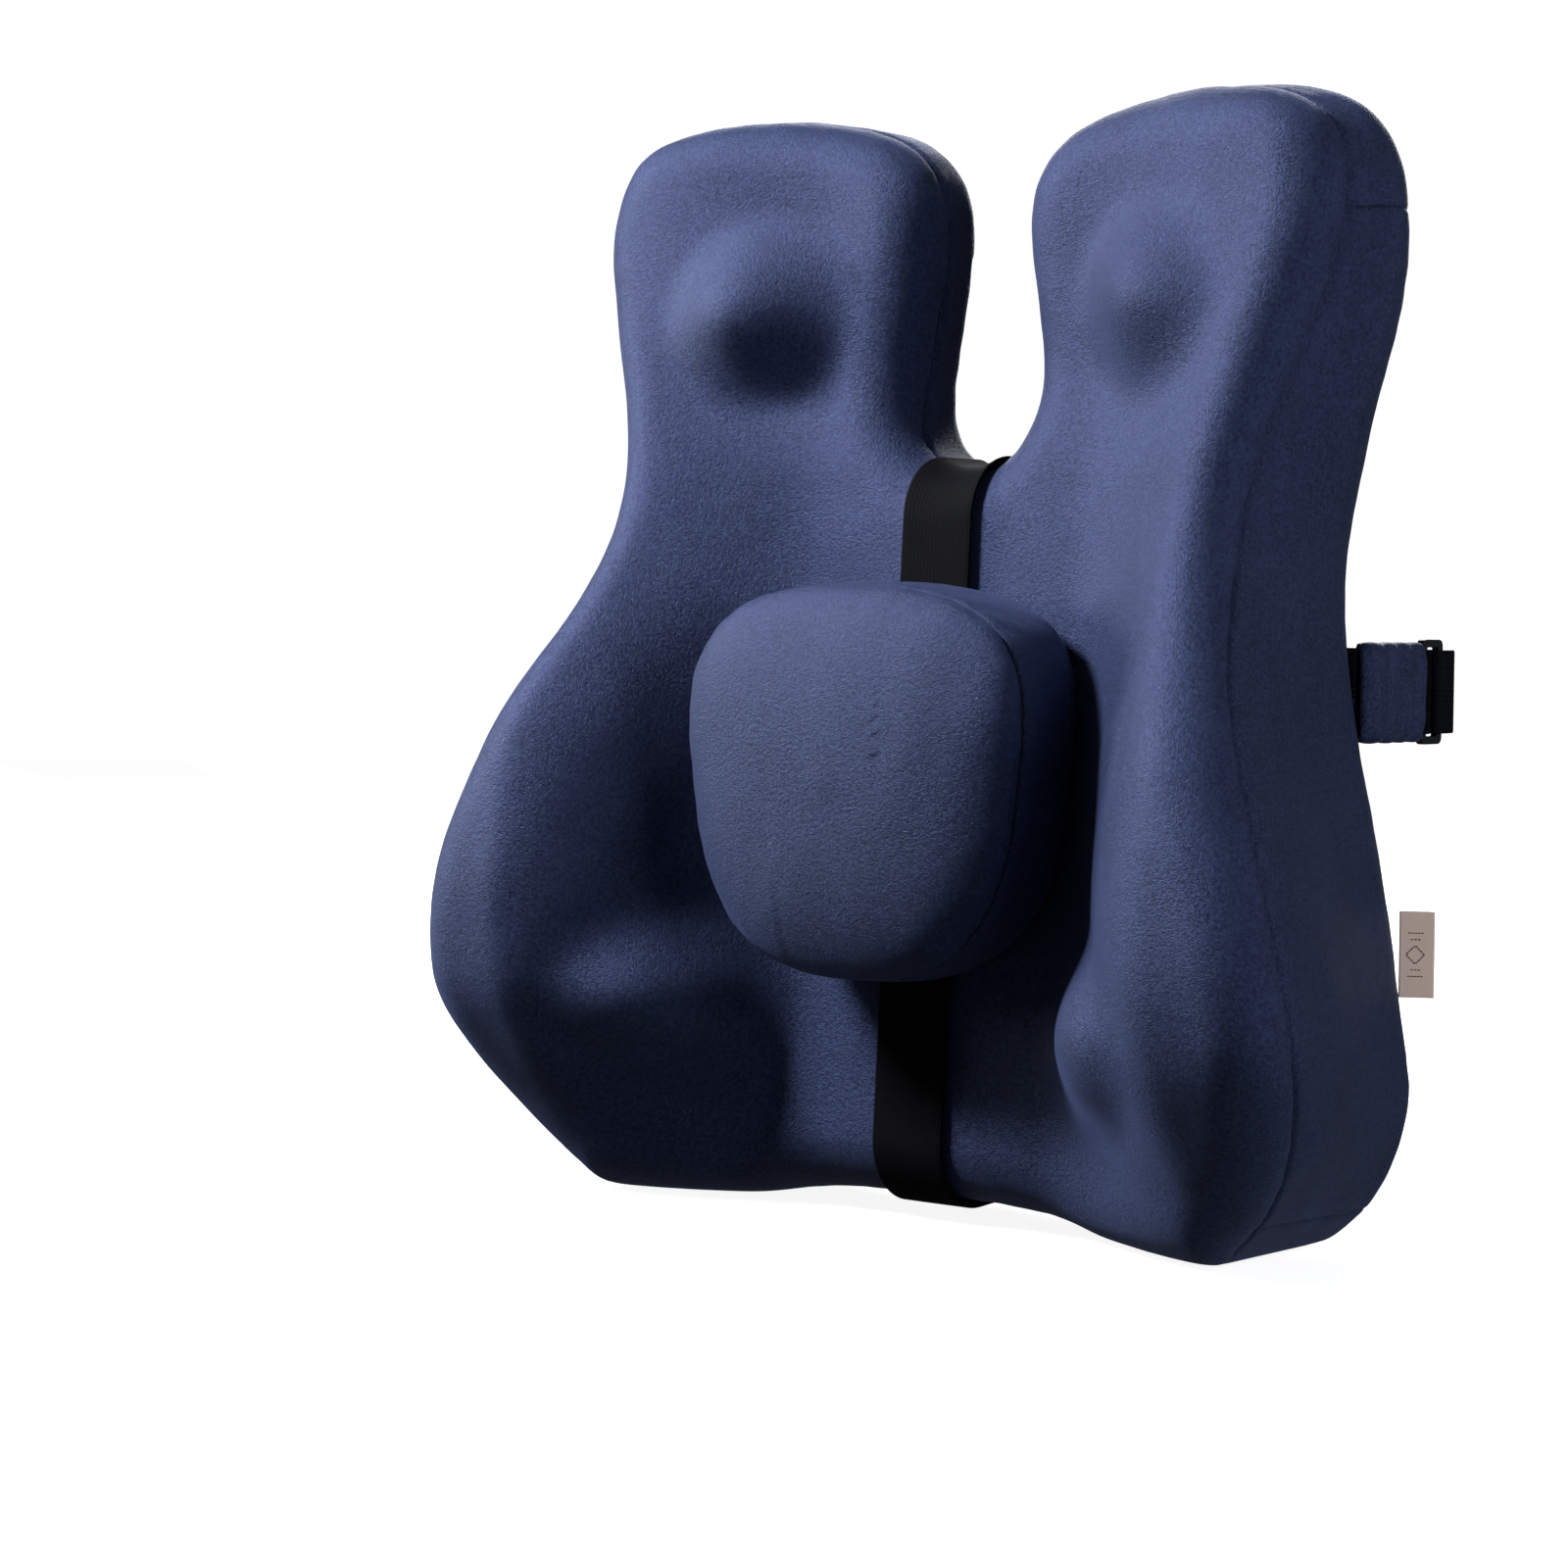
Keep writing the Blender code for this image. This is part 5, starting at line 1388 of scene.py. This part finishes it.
        bands = np.array(zone)[r]
        zones = np.concatenate([bands, bands, np.full(around, Zone.BACK.value),
                                np.full(around, Zone.FRONT.value)])
        p, q, o = (points[faces[:, k]] for k in range(3))
        volume = np.einsum("ij,ij->i", p, np.cross(q, o))
        faces = faces if volume.sum() > 0 else faces[:, ::-1]
        seam = np.append(seam, [FAR, FAR])
        skin = Surface(points, faces, zones, np.zeros(len(faces), int), seam,
                       np.full(len(seam), FAR))
        held = np.zeros(len(points), bool)
        held[faces[zones != Zone.FRONT.value].ravel()] = True
        skin.points = swell(points, faces, held, 4.0, 3.5)
        outer, normals = skin.tailored(1.2, 31)
        inner = outer - normals * self.cover
        for name, wanted, node in (("pad_front", Zone.FRONT, "pad_front_panel"),
                                   ("pad_side", Zone.WALL, "pad_gusset"),
                                   ("pad_back", Zone.BACK, "pad_back_panel")):
            panel = shell(outer, inner, faces[zones == wanted.value])
            made = self.shop.place(name, panel, VELVET_PAD, Body.PAD, (node,))
        foam = Shape(outer - normals * (self.cover + self.gap + self.squeeze), [faces])
        made = self.shop.place("pad_filling", foam, FOAM, Body.PAD, ("pad_foam",))

    def ring_at(self, angle: Array, share: float, level: float, base: float) -> Array:
        """A ring of the pad's front: the crown's height, or the edge's over the wings.

        The greater of the two is taken as (a + b + sqrt((a - b)^2 + 9)) / 2, which joins them softly.

        Args:
            angle: round the pad.
            share: of the way from its middle to its edge.
            level: height, as a share of the depth.
            base: where the pad's back stands at its middle.

        Returns:
            The ring's places, (n, 3).
        """
        x, z = self.outline(angle, np.full(len(angle), share))
        a = base + level * self.deep
        b = self.back_depth(x, z) + self.edge + (level - self.rim) * self.deep
        return np.stack([x, -(a + b + np.sqrt((a - b) ** 2 + 9)) / 2 + 0.7, z], 1)

    def build_tunnel(self) -> None:
        """The fabric loop behind the elastic: two flanges that reach the pad and a bridge between."""
        inner_x, outer_x = self.strap_width / 2 + 1.0, self.strap_width / 2 + 8.0
        low, bridge, high = 0.55, 1.45, 3.4
        corners = np.array([(-outer_x, low), (outer_x, low), (outer_x, high), (inner_x, high),
                            (inner_x, bridge), (-inner_x, bridge), (-inner_x, high),
                            (-outer_x, high), (-outer_x, low)])
        run = run_of(corners)
        beside = [run[1:-1] + d for d in (-0.3, 0, 0.3)]
        at = np.unique(np.concatenate([np.linspace(0, run[-1], 70), *beside]))[:-1]
        profile = np.stack([np.interp(at, run, corners[:, k]) for k in (0, 1)], 1)
        z = np.linspace(self.centre - 34, self.centre + 34, 40)
        ease = 0.12 * np.sin(np.outer(z, [0.35])) * (np.abs(profile[:, 0]) > inner_x)
        y = -(self.form.depth(0.0, z, False)[:, None] + profile[:, 1] + ease * 0.5)
        rings = np.stack([np.broadcast_to(profile[:, 0], y.shape), y,
                          np.broadcast_to(z[:, None], y.shape)], 2)
        made = tube(rings, z - z[0], np.append(at, run[-1]))
        self.shop.place("pad_loop", made, ELASTIC, Body.PAD, ("pad_tunnel",))

    def strap_path(self, x: Array) -> tuple[Array, Array]:
        """The elastic's inner line at places across it, and its outward directions.

        Over the back edge it follows an arc of the low back round from 45 degrees, then the notch's
        wall, a quarter circle of the front round, the front face, and the same at the base.

        Args:
            x: places across the strap, (k,).

        Returns:
            Places and directions in (y, z), each (n, k, 2).
        """
        top, low = self.form.edge_height(x, True), self.form.edge_height(x, False)
        rb, big = self.form.back_round_low, self.form.front_round
        bend, quarter = np.radians(np.linspace(45, 0, 7)), np.radians(np.linspace(0, 90, 14))
        parts = []
        for edge, way in ((top, 1), (low, -1)):
            deep = self.form.depth(0.0, edge - way * big, False)
            back = np.stack([np.add.outer(-rb + rb * np.sin(bend), 0 * x),
                             edge - way * rb * (1 - np.cos(bend))[:, None]], 2)
            start, end = -rb, -deep + big
            s = np.linspace(0, 1, 16)[1:-1, None]
            wall = np.stack([start * (1 - s) + end * s, edge * np.ones_like(s)], 2)
            y = -deep + big * (1 - np.sin(quarter))[:, None]
            over = np.stack([y, edge - way * big + way * big * np.cos(quarter)[:, None]], 2)
            parts.append(np.concatenate([back, wall, over]))
        s = np.linspace(0, 1, 130)[1:-1, None, None]
        face = parts[0][-1] * (1 - s) + parts[1][-1] * s
        face[..., 0] = -self.form.depth(0.0, face[..., 1], False)
        line = np.concatenate([parts[0], face, parts[1][::-1]])
        way = np.gradient(line, axis=0)
        way /= np.linalg.norm(way, axis=2, keepdims=True)
        out = np.stack([way[..., 1], -way[..., 0]], 2)
        out *= -np.sign(out[len(out) // 2, len(x) // 2, 0])
        y = line[..., :1]
        lift = 0.9 + smooth(-30.0, -56.0, y) * 1.0
        return line + out * lift, out

    def build_strap(self) -> None:
        """The ribbed elastic: the strap's section carried along its path."""
        section, around = strap_section(self.strap_width, self.strap_thick, 16)
        line, out = self.strap_path(section[:, 0])
        spots = line + out * (section[:, 1] + self.strap_thick / 2)[None, :, None]
        rings = np.stack([np.broadcast_to(section[:, 0], spots.shape[:2]), spots[..., 0],
                          spots[..., 1]], 2)
        middle = rings[:, len(section) // 4]
        self.shop.place("pad_elastic", tube(rings, run_of(middle), around), ELASTIC, Body.CUSHION,
                        ("pad_strap",))


def swell(points: Array, faces: Array, held: Array, pressure: float, cap: float) -> Array:
    """A padded form after its cloth has been blown up a little: a cloth simulation with held points.

    Args:
        points: the form, mm.
        faces: its triangles.
        held: which points stay where they are.
        pressure: of the cloth's filling.
        cap: the furthest that a point may move, mm.

    Returns:
        The new points, in mm.
    """
    scene = bpy.context.scene
    mesh = bpy.data.meshes.new("swell")
    mesh.from_pydata((points * MM).tolist(), [], faces.tolist())
    made = bpy.data.objects.new("swell", mesh)
    scene.collection.objects.link(made)
    made.vertex_groups.new(name="held").add(np.flatnonzero(held).tolist(), 1.0, "REPLACE")
    cloth = made.modifiers.new("cloth", "CLOTH")
    cloth.settings.vertex_group_mass = "held"
    cloth.settings.quality = 6
    cloth.settings.mass = 0.25
    cloth.settings.tension_stiffness = cloth.settings.compression_stiffness = 18.0
    cloth.settings.bending_stiffness = 0.8
    cloth.settings.use_pressure = True
    cloth.settings.uniform_pressure_force = pressure
    cloth.settings.effector_weights.gravity = 0.0
    cloth.collision_settings.use_collision = False
    cloth.point_cache.frame_start, cloth.point_cache.frame_end = 1, 20
    for frame in range(1, 21):
        scene.frame_set(frame)
    seen = made.evaluated_get(bpy.context.evaluated_depsgraph_get()).data
    found = np.empty(len(points) * 3, np.float32)
    seen.vertices.foreach_get("co", found)
    move = found.reshape(-1, 3).astype(float) / MM - points
    scene.frame_set(1)
    bpy.data.objects.remove(made)
    bpy.data.meshes.remove(mesh)
    far = np.linalg.norm(move, axis=1, keepdims=True)
    LOG.info("cloth moved by up to %.1f mm, %.1f mm on average", far.max(), far.mean())
    return points + move * np.minimum(1.0, cap / np.maximum(far, 1e-9))


# ---------------------------------------------------------------- the strap round the chair
@dataclass
class ChairStrap:
    """The strap that holds the cushion to a chair: sleeves, elastics, ring, webbing and buckle.

    Attributes:
        shop: where pieces are placed.
        form: the cushion's shape.
        z: height of its middle.
        width: of the webbing.
        thick: of the webbing.
        y: how far behind the back the buckle's middle lies.
        sleeve: length of each gathered sleeve.
        ring: length of the rectangular ring.
        buckle_x: where the buckle's halves meet.
        fold: radius of a strap folded round a bar.
        step: spacing of the rows along a strap.
    """

    shop: Workshop
    form: Form
    z: float = 207.0
    width: float = 32.0
    thick: float = 1.4
    y: float = 64.0
    sleeve: float = 36.0
    ring: float = 15.0
    buckle_x: float = -50.0
    fold: float = 3.2
    step: float = 1.6

    def build(self) -> None:
        """Builds every piece of the strap."""
        bar_near = self.sleeve + 6.5
        bar_far = bar_near + self.ring - 3.0
        run_y = self.y - self.fold
        for side, sign in (("right", 1), ("left", -1)):
            self.build_sleeve("gathered_sleeve_" + side, self.line(sign), "sleeve_" + side,
                              5 if sign > 0 else 9)
        line = self.line(1)
        stations = np.concatenate([np.linspace(1.0, 32, 9), np.linspace(34.5, bar_near, 4)])
        at, way = self.along(line, stations)
        at = at + self.left_of(way) * (self.fold * smooth(32, bar_near, stations))[:, None]
        centre, bar_way = self.along(line, [bar_near])
        back, back_way = self.along(line, [bar_near - 2, self.sleeve + 2])
        back = back - self.left_of(back_way) * self.fold
        plan = np.vstack([at[:-1], self.turn(centre[0], bar_way[0], 1), back])
        self.flat("elastic_to_ring", plan, ELASTIC, "elastic_right", Body.CUSHION)
        left = self.line(-1)
        at, _ = self.along(left, np.concatenate([np.linspace(1.0, 50, 12), run_of(left)[18:]]))
        bar = np.array([self.buckle_x - 40.0, self.y])
        tail = [(bar[0] - 4, self.y + self.fold), (bar[0] - 14, self.y + self.fold)]
        plan = np.vstack([at, self.turn(bar, (1.0, 0.0), -1), tail])
        self.flat("elastic_to_buckle", plan, ELASTIC, "elastic_left", Body.CUSHION)
        centre, bar_way = self.along(line, [bar_far])
        tail, tail_way = self.along(line, [bar_far + 7, bar_far + 3])
        tail = tail - self.left_of(tail_way) * self.fold
        run = run_of(line)
        stations = np.concatenate([[bar_far + 2.5, bar_far + 5], run[run > bar_far + 6]])
        at, way = self.along(line, stations)
        off = self.fold * (1 - smooth(bar_far, bar_far + 22, stations))
        at = at + self.left_of(way) * off[:, None]
        plug = self.buckle_x + 18.5
        inner_y = run_y + self.thick + 0.4
        end = [(at[-1][0] - 20, run_y), (plug + 106, run_y), (plug + 92, inner_y),
               (plug + 38, inner_y)]
        plan = np.vstack([tail, self.turn(centre[0], -bar_way[0], 1), at, end])
        self.flat("webbing_long", plan, WEBBING, "chair_webbing", Body.CUSHION)
        near = [(plug + 50 - 10 * k, run_y) for k in range(5)]
        far = [(plug + 10 * k, self.y + self.fold) for k in range(1, 6)]
        plan = np.vstack([near, self.turn((plug, self.y), (-1.0, 0.0), 1), far])
        self.flat("webbing_end", plan, WEBBING, "webbing_loop", Body.PLUG)
        self.shop.softened("strap_ring", "ring_moulding", ACETAL, Body.CUSHION, 0.7)
        self.shop.softened("buckle_socket", "buckle_socket_moulding", ACETAL, Body.CUSHION, 0.7)
        self.shop.softened("buckle_plug", "buckle_plug_moulding", ACETAL, Body.PLUG, 0.7)

    def line(self, sign: int) -> Array:
        """The plan line of one side: out of the seam, straight back, and round behind the back.

        Args:
            sign: 1 for the right side, -1 for the left.

        Returns:
            The line's points, (n, 2): a cubic curve, a straight, a quarter circle and a straight.
        """
        seam, out = self.form.side_seam(self.z), np.array([1.0, 1.0]) / math.sqrt(2)
        start, x1, corner = seam + out * 3.4, seam[0] + 6.0, 9.0
        end = self.y - self.fold - corner
        t = np.linspace(0, 1, 14)[:, None]
        p = (start, start + out * 8, np.array([x1, 4.0]), np.array([x1, 16.0]))
        first = ((1 - t) ** 3 * p[0] + 3 * t * (1 - t) ** 2 * p[1] + 3 * t**2 * (1 - t) * p[2]
                 + t**3 * p[3])
        straight = np.column_stack([np.full(4, x1), np.linspace(16, end, 5)[1:]])
        a = np.radians(np.arange(15, 91, 15))
        bend = np.column_stack([x1 - corner + corner * np.cos(a), end + corner * np.sin(a)])
        return np.vstack([first, straight, bend, [[x1 - corner - 30, end + corner]]]) * (sign, 1)

    @staticmethod
    def left_of(way: Array) -> Array:
        """Directions a quarter turn to the left, in plan."""
        return np.stack([-way[:, 1], way[:, 0]], 1)

    @staticmethod
    def along(line: Array, stations: Any) -> tuple[Array, Array]:
        """Places and directions at distances along a plan line.

        Args:
            line: the line's points.
            stations: the distances.

        Returns:
            Places and unit directions, (n, 2) each.
        """
        run, stations = run_of(line), np.asarray(stations, float)
        at, ahead, behind = (np.stack([np.interp(stations + d, run, line[:, k]) for k in (0, 1)], 1)
                             for d in (0.0, 0.4, -0.4))
        way = ahead - behind
        return at, way / np.linalg.norm(way, axis=1, keepdims=True)

    def turn(self, centre: Any, way: Any, side: int) -> Array:
        """Half a turn round a bar: the fold's radius times a half circle.

        Args:
            centre: the bar's middle, in plan.
            way: the direction that the strap comes along.
            side: 1 if it comes on the left of the bar, -1 on the right.

        Returns:
            Places, (13, 2).
        """
        way = np.asarray(way, float)
        across = np.array([-way[1], way[0]]) * side
        a = np.linspace(0, math.pi, 13)[:, None]
        return np.asarray(centre) + self.fold * (across * np.cos(a) + way * np.sin(a))

    def flat(self, name: str, plan: Array, finish: Finish, node: str, body: Body) -> None:
        """A strap standing on edge along a plan line.

        Args:
            name: the piece's name.
            plan: the line, (n, 2).
            finish: its surface.
            node: the node that it replaces.
            body: the body that it moves with.
        """
        plan = resample(plan, self.step)
        line = np.column_stack([plan, np.full(len(plan), self.z)])
        self.shop.place(name, ribbon(line, (0, 0, 1), self.width, self.thick), finish, body, (node,))

    def build_sleeve(self, name: str, line: Array, node: str, seed: int) -> None:
        """A gathered velvet sleeve: a flattened tube whose walls swell between three tight lines.

        The half thickness is 5 mm times 1 + 0.3 |sin| of three half waves along it, and every ring
        is a squared circle: cosine to the power 0.6 by sine to the power 0.45.

        Args:
            name: the piece's name.
            line: plan line of its strap.
            node: the node that it replaces.
            seed: which unevenness.
        """
        n, k = 60, 56
        s = np.linspace(0.0, self.sleeve, n)
        at, way = self.along(line, s)
        across = self.left_of(way)
        puff = np.abs(np.sin(math.pi * 3.5 * (s / self.sleeve) + 0.25)) ** 0.8
        a = np.arange(k) / k * TAU + math.pi / k
        c, v = np.cos(a), np.sin(a)
        u = np.sign(c) * np.abs(c) ** 0.6
        v = np.sign(v) * np.abs(v) ** 0.45
        grids = []
        for wall in (0.0, 1.0):
            thick = (4.1 + 1.9 * puff - wall)[:, None]
            tall = (self.width / 2 + 2.0 + 1.0 * puff - wall)[:, None]
            places = at[:, None] + across[:, None] * (thick * u)[..., None]
            grids.append(np.concatenate([places, (self.z + tall * v)[..., None]], 2))
        wobble = drift(grids[0].reshape(-1, 3), 9.0, seed).reshape(n, k, 1) * 0.5
        lean = np.concatenate([across[:, None] * u[None, :, None], np.zeros((n, k, 1))], 2)
        rings = np.concatenate([grids[0] + lean * wobble, grids[1][::-1] + lean * wobble[::-1]])
        i, j = np.meshgrid(np.arange(2 * n), np.arange(k), indexing="ij")
        i, j = i.ravel(), j.ravel()
        i2, j2 = (i + 1) % (2 * n), (j + 1) % k
        quads = np.stack([i * k + j, i * k + j2, i2 * k + j2, i2 * k + j], 1)
        self.shop.place(name, Shape(rings.reshape(-1, 3), [quads]), VELVET_SIDE, Body.CUSHION, (node,))


# ---------------------------------------------------------------- the label
@dataclass
class Label:
    """A folded satin tab caught in the back seam on the right side.

    Attributes:
        shop: where pieces are placed.
        form: the cushion's shape.
        z: height of its middle.
        tall: its height.
        reach: how far its fold stands from the seam.
        slant: how far back it leans for each step outwards.
        layer: half the distance between its two layers.
    """

    shop: Workshop
    form: Form
    z: float = 111.0
    tall: float = 32.0
    reach: float = 15.5
    slant: float = 0.55
    layer: float = 0.25

    def build(self) -> None:
        """The folded tab and its stitched marks."""
        start = self.form.side_seam(self.z)
        way = np.array([1.0, self.slant]) / math.hypot(1.0, self.slant)
        side = np.array([way[1], -way[0]])
        turn = self.reach - 0.3
        d = np.linspace(2.5, turn, 16)
        a = np.radians(np.linspace(90, -90, 9))[1:-1]
        out = start + way * d[:, None] + side * self.layer
        fold = (start + way * (turn + self.layer * np.cos(a))[:, None]
                + side * (self.layer * np.sin(a))[:, None])
        home = (start + way * d[:, None] - side * self.layer)[::-1]
        plan = np.vstack([out, fold, home])
        line = np.column_stack([plan, np.full(len(plan), self.z)])
        tab = ribbon(line, (0, 0, 1), self.tall, 0.36)
        self.shop.place("satin_tab", tab, SATIN, Body.CUSHION, ("label",))
        up = np.array([*side, 0.0])
        base = np.array([*(start + way * 8.6 + side * 0.44), self.z])
        across = np.array([*way, 0.0])
        tall = np.array([0.0, 0.0, 1.0])
        marks = [(-3.0, 8.0, 3.0, 8.0), (-2.0, 5.6, 2.0, 5.6), (-3.4, 0.0, 0.0, 3.4),
                 (0.0, 3.4, 3.4, 0.0), (3.4, 0.0, 0.0, -3.4), (0.0, -3.4, -3.4, 0.0),
                 (-2.0, -5.6, 2.0, -5.6), (-3.0, -8.0, 3.0, -8.0)]
        rows = [stitch_line(base + across * x0 + tall * z0, base + across * x1 + tall * z1, up, 1.2, 0.22)
                for x0, z0, x1, z1 in marks]
        mark = rows[0]
        for row in rows[1:]:
            mark = mark.joined(row)
        self.shop.place("tab_marks", mark, INK_THREAD, Body.CUSHION)


# ---------------------------------------------------------------- the studio
@dataclass
class Studio:
    """Pale floor and backdrop, soft lights, and the camera.

    Attributes:
        target: what the camera looks at, mm.
        azimuth: of the camera, degrees, 0 in front.
        elevation: of the camera, degrees.
        roll: of the camera, degrees.
        distance: from the target, mm.
        lens: focal length, mm.
        shift: of the lens, as shares of the sensor.
    """

    target: tuple[float, float, float] = (0.0, -14.0, 215.0)
    azimuth: float = 36.61
    elevation: float = 0.88
    roll: float = 0.89
    distance: float = 1448.28
    lens: float = 85.79
    shift: tuple[float, float] = (-0.1058, -0.0774)

    def build(self) -> None:
        """Builds the camera, the lights, the floor and the backdrop."""
        self.build_camera()
        self.build_lights()
        self.build_stage()

    def build_camera(self) -> None:
        """A camera at the angles above, its right and up turned by the roll."""
        az, el, ro = (math.radians(v) for v in (self.azimuth, self.elevation, self.roll))
        back = Vector((math.sin(az) * math.cos(el), -math.cos(az) * math.cos(el), math.sin(el)))
        right = Vector((math.cos(az), math.sin(az), 0.0))
        up = back.cross(right)
        turned = right * math.cos(ro) + up * math.sin(ro)
        lifted = back.cross(turned)
        data = bpy.data.cameras.new("camera")
        data.sensor_width, data.lens = 36.0, self.lens
        data.shift_x, data.shift_y = self.shift
        data.clip_start, data.clip_end = 0.05, 50.0
        made = bpy.data.objects.new("camera", data)
        place = (Vector(self.target) + back * self.distance) * MM
        made.matrix_world = Matrix.Translation(place) @ Matrix((turned, lifted, back)).transposed().to_4x4()
        bpy.context.collection.objects.link(made)
        bpy.context.scene.camera = made

    @staticmethod
    def lamp(name: str, place: tuple[float, float, float], towards: tuple[float, float, float],
             size: tuple[float, float], power: float, colour: str) -> None:
        """One soft rectangular light, which the camera doesn't see.

        Args:
            name: the light's name.
            place: where it hangs, m.
            towards: what it faces, m.
            size: its width and height, m.
            power: W.
            colour: sRGB hex.
        """
        data = bpy.data.lights.new(name, "AREA")
        data.shape = "RECTANGLE"
        data.size, data.size_y = size
        data.energy = power
        data.color = linear(colour)[:3]
        made = bpy.data.objects.new(name, data)
        made.location = place
        made.rotation_mode = "QUATERNION"
        made.rotation_quaternion = (Vector(towards) - Vector(place)).to_track_quat("-Z", "Y")
        made.visible_camera = False
        bpy.context.collection.objects.link(made)

    def build_lights(self) -> None:
        """A key from the left and above, a low side light, a fill, a rear light and a dim room."""
        middle = (0.0, -0.03, 0.22)
        self.lamp("key", (-0.92, -0.86, 1.30), middle, (0.4, 0.4), 60.0, "f4f6ff")
        self.lamp("side", (-1.75, -0.55, 0.5), middle, (0.5, 0.5), 16.0, "f4f6ff")
        self.lamp("fill", (1.7, -0.25, 0.45), middle, (1.2, 1.2), 16.0, "f2f5ff")
        self.lamp("rear", (-0.9, 1.6, 1.0), middle, (1.4, 1.0), 22.0, "ffffff")
        world = bpy.data.worlds.new("room")
        world.use_nodes = True
        world.node_tree.nodes["Background"].inputs["Color"].default_value = linear("eef1f8")
        world.node_tree.nodes["Background"].inputs["Strength"].default_value = 0.085
        bpy.context.scene.world = world
        bpy.context.scene.view_settings.view_transform = "Standard"
        bpy.context.scene.view_settings.look = "None"

    def build_stage(self) -> None:
        """A pale matt floor that takes the contact shadow, and a pale round wall behind it."""
        paint = bpy.data.materials.new("matt_white_floor_paint")
        paint.use_nodes = True
        tree = paint.node_tree
        shader = tree.nodes["Principled BSDF"]
        place = add(tree, "TexCoord").outputs["Object"]
        soft = add(tree, "TexNoise", {"Vector": place, "Scale": 3.0}).outputs["Fac"]
        colour = add(tree, "Mix", {"Factor": soft, "A": linear("fbfbfb"), "B": linear("ffffff")},
                     data_type="RGBA").outputs["Result"]
        tree.links.new(colour, shader.inputs["Base Color"])
        shader.inputs["Roughness"].default_value = 0.9
        shader.inputs["Specular IOR Level"].default_value = 0.1
        shader.inputs["Emission Color"].default_value = linear("ffffff")
        shader.inputs["Emission Strength"].default_value = 0.9
        sides, drop = 96, 0.0004
        a = np.arange(sides) / sides * TAU
        for name, rings in (("floor", ((0.02, 0.0), (1.5, 0.0), (4.0, 0.0))),
                            ("backdrop", ((4.0, 0.0), (4.6, 0.6), (4.8, 3.0), (3.0, 5.0), (0.02, 5.6)))):
            spots = np.concatenate([np.stack([r * np.cos(a), r * np.sin(a), np.full(sides, z)], 1)
                                    for r, z in rings])
            i, j = np.meshgrid(np.arange(len(rings) - 1), np.arange(sides), indexing="ij")
            i, j = i.ravel(), j.ravel()
            j2 = (j + 1) % sides
            quads = np.stack([i * sides + j, (i + 1) * sides + j, (i + 1) * sides + j2,
                              i * sides + j2], 1)
            mesh = bpy.data.meshes.new(name)
            mesh.from_pydata((spots - (0, 0, drop)).tolist(), [],
                             quads.tolist() + [list(range(sides))])
            mesh.materials.append(paint)
            made = bpy.data.objects.new(name, mesh)
            bpy.context.collection.objects.link(made)
            made.visible_diffuse = False
            made.visible_glossy = False
            if name == "backdrop":
                made.visible_shadow = False


def main() -> None:
    """Loads the frame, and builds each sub-assembly in order."""
    logging.basicConfig(level=logging.INFO, format="%(name)s: %(message)s")
    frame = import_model()
    back_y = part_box("cover_back_panel")[1].y
    LOG.info("back plane at y = %.4f m", back_y)
    shop = Workshop(frame, back_y)
    form = Form()
    Studio().build()
    Cushion(shop, form).build()
    Zip(shop).build()
    Pad(shop, form).build()
    ChairStrap(shop, form).build()
    Label(shop, form).build()


if __name__ == "__main__":
    main()
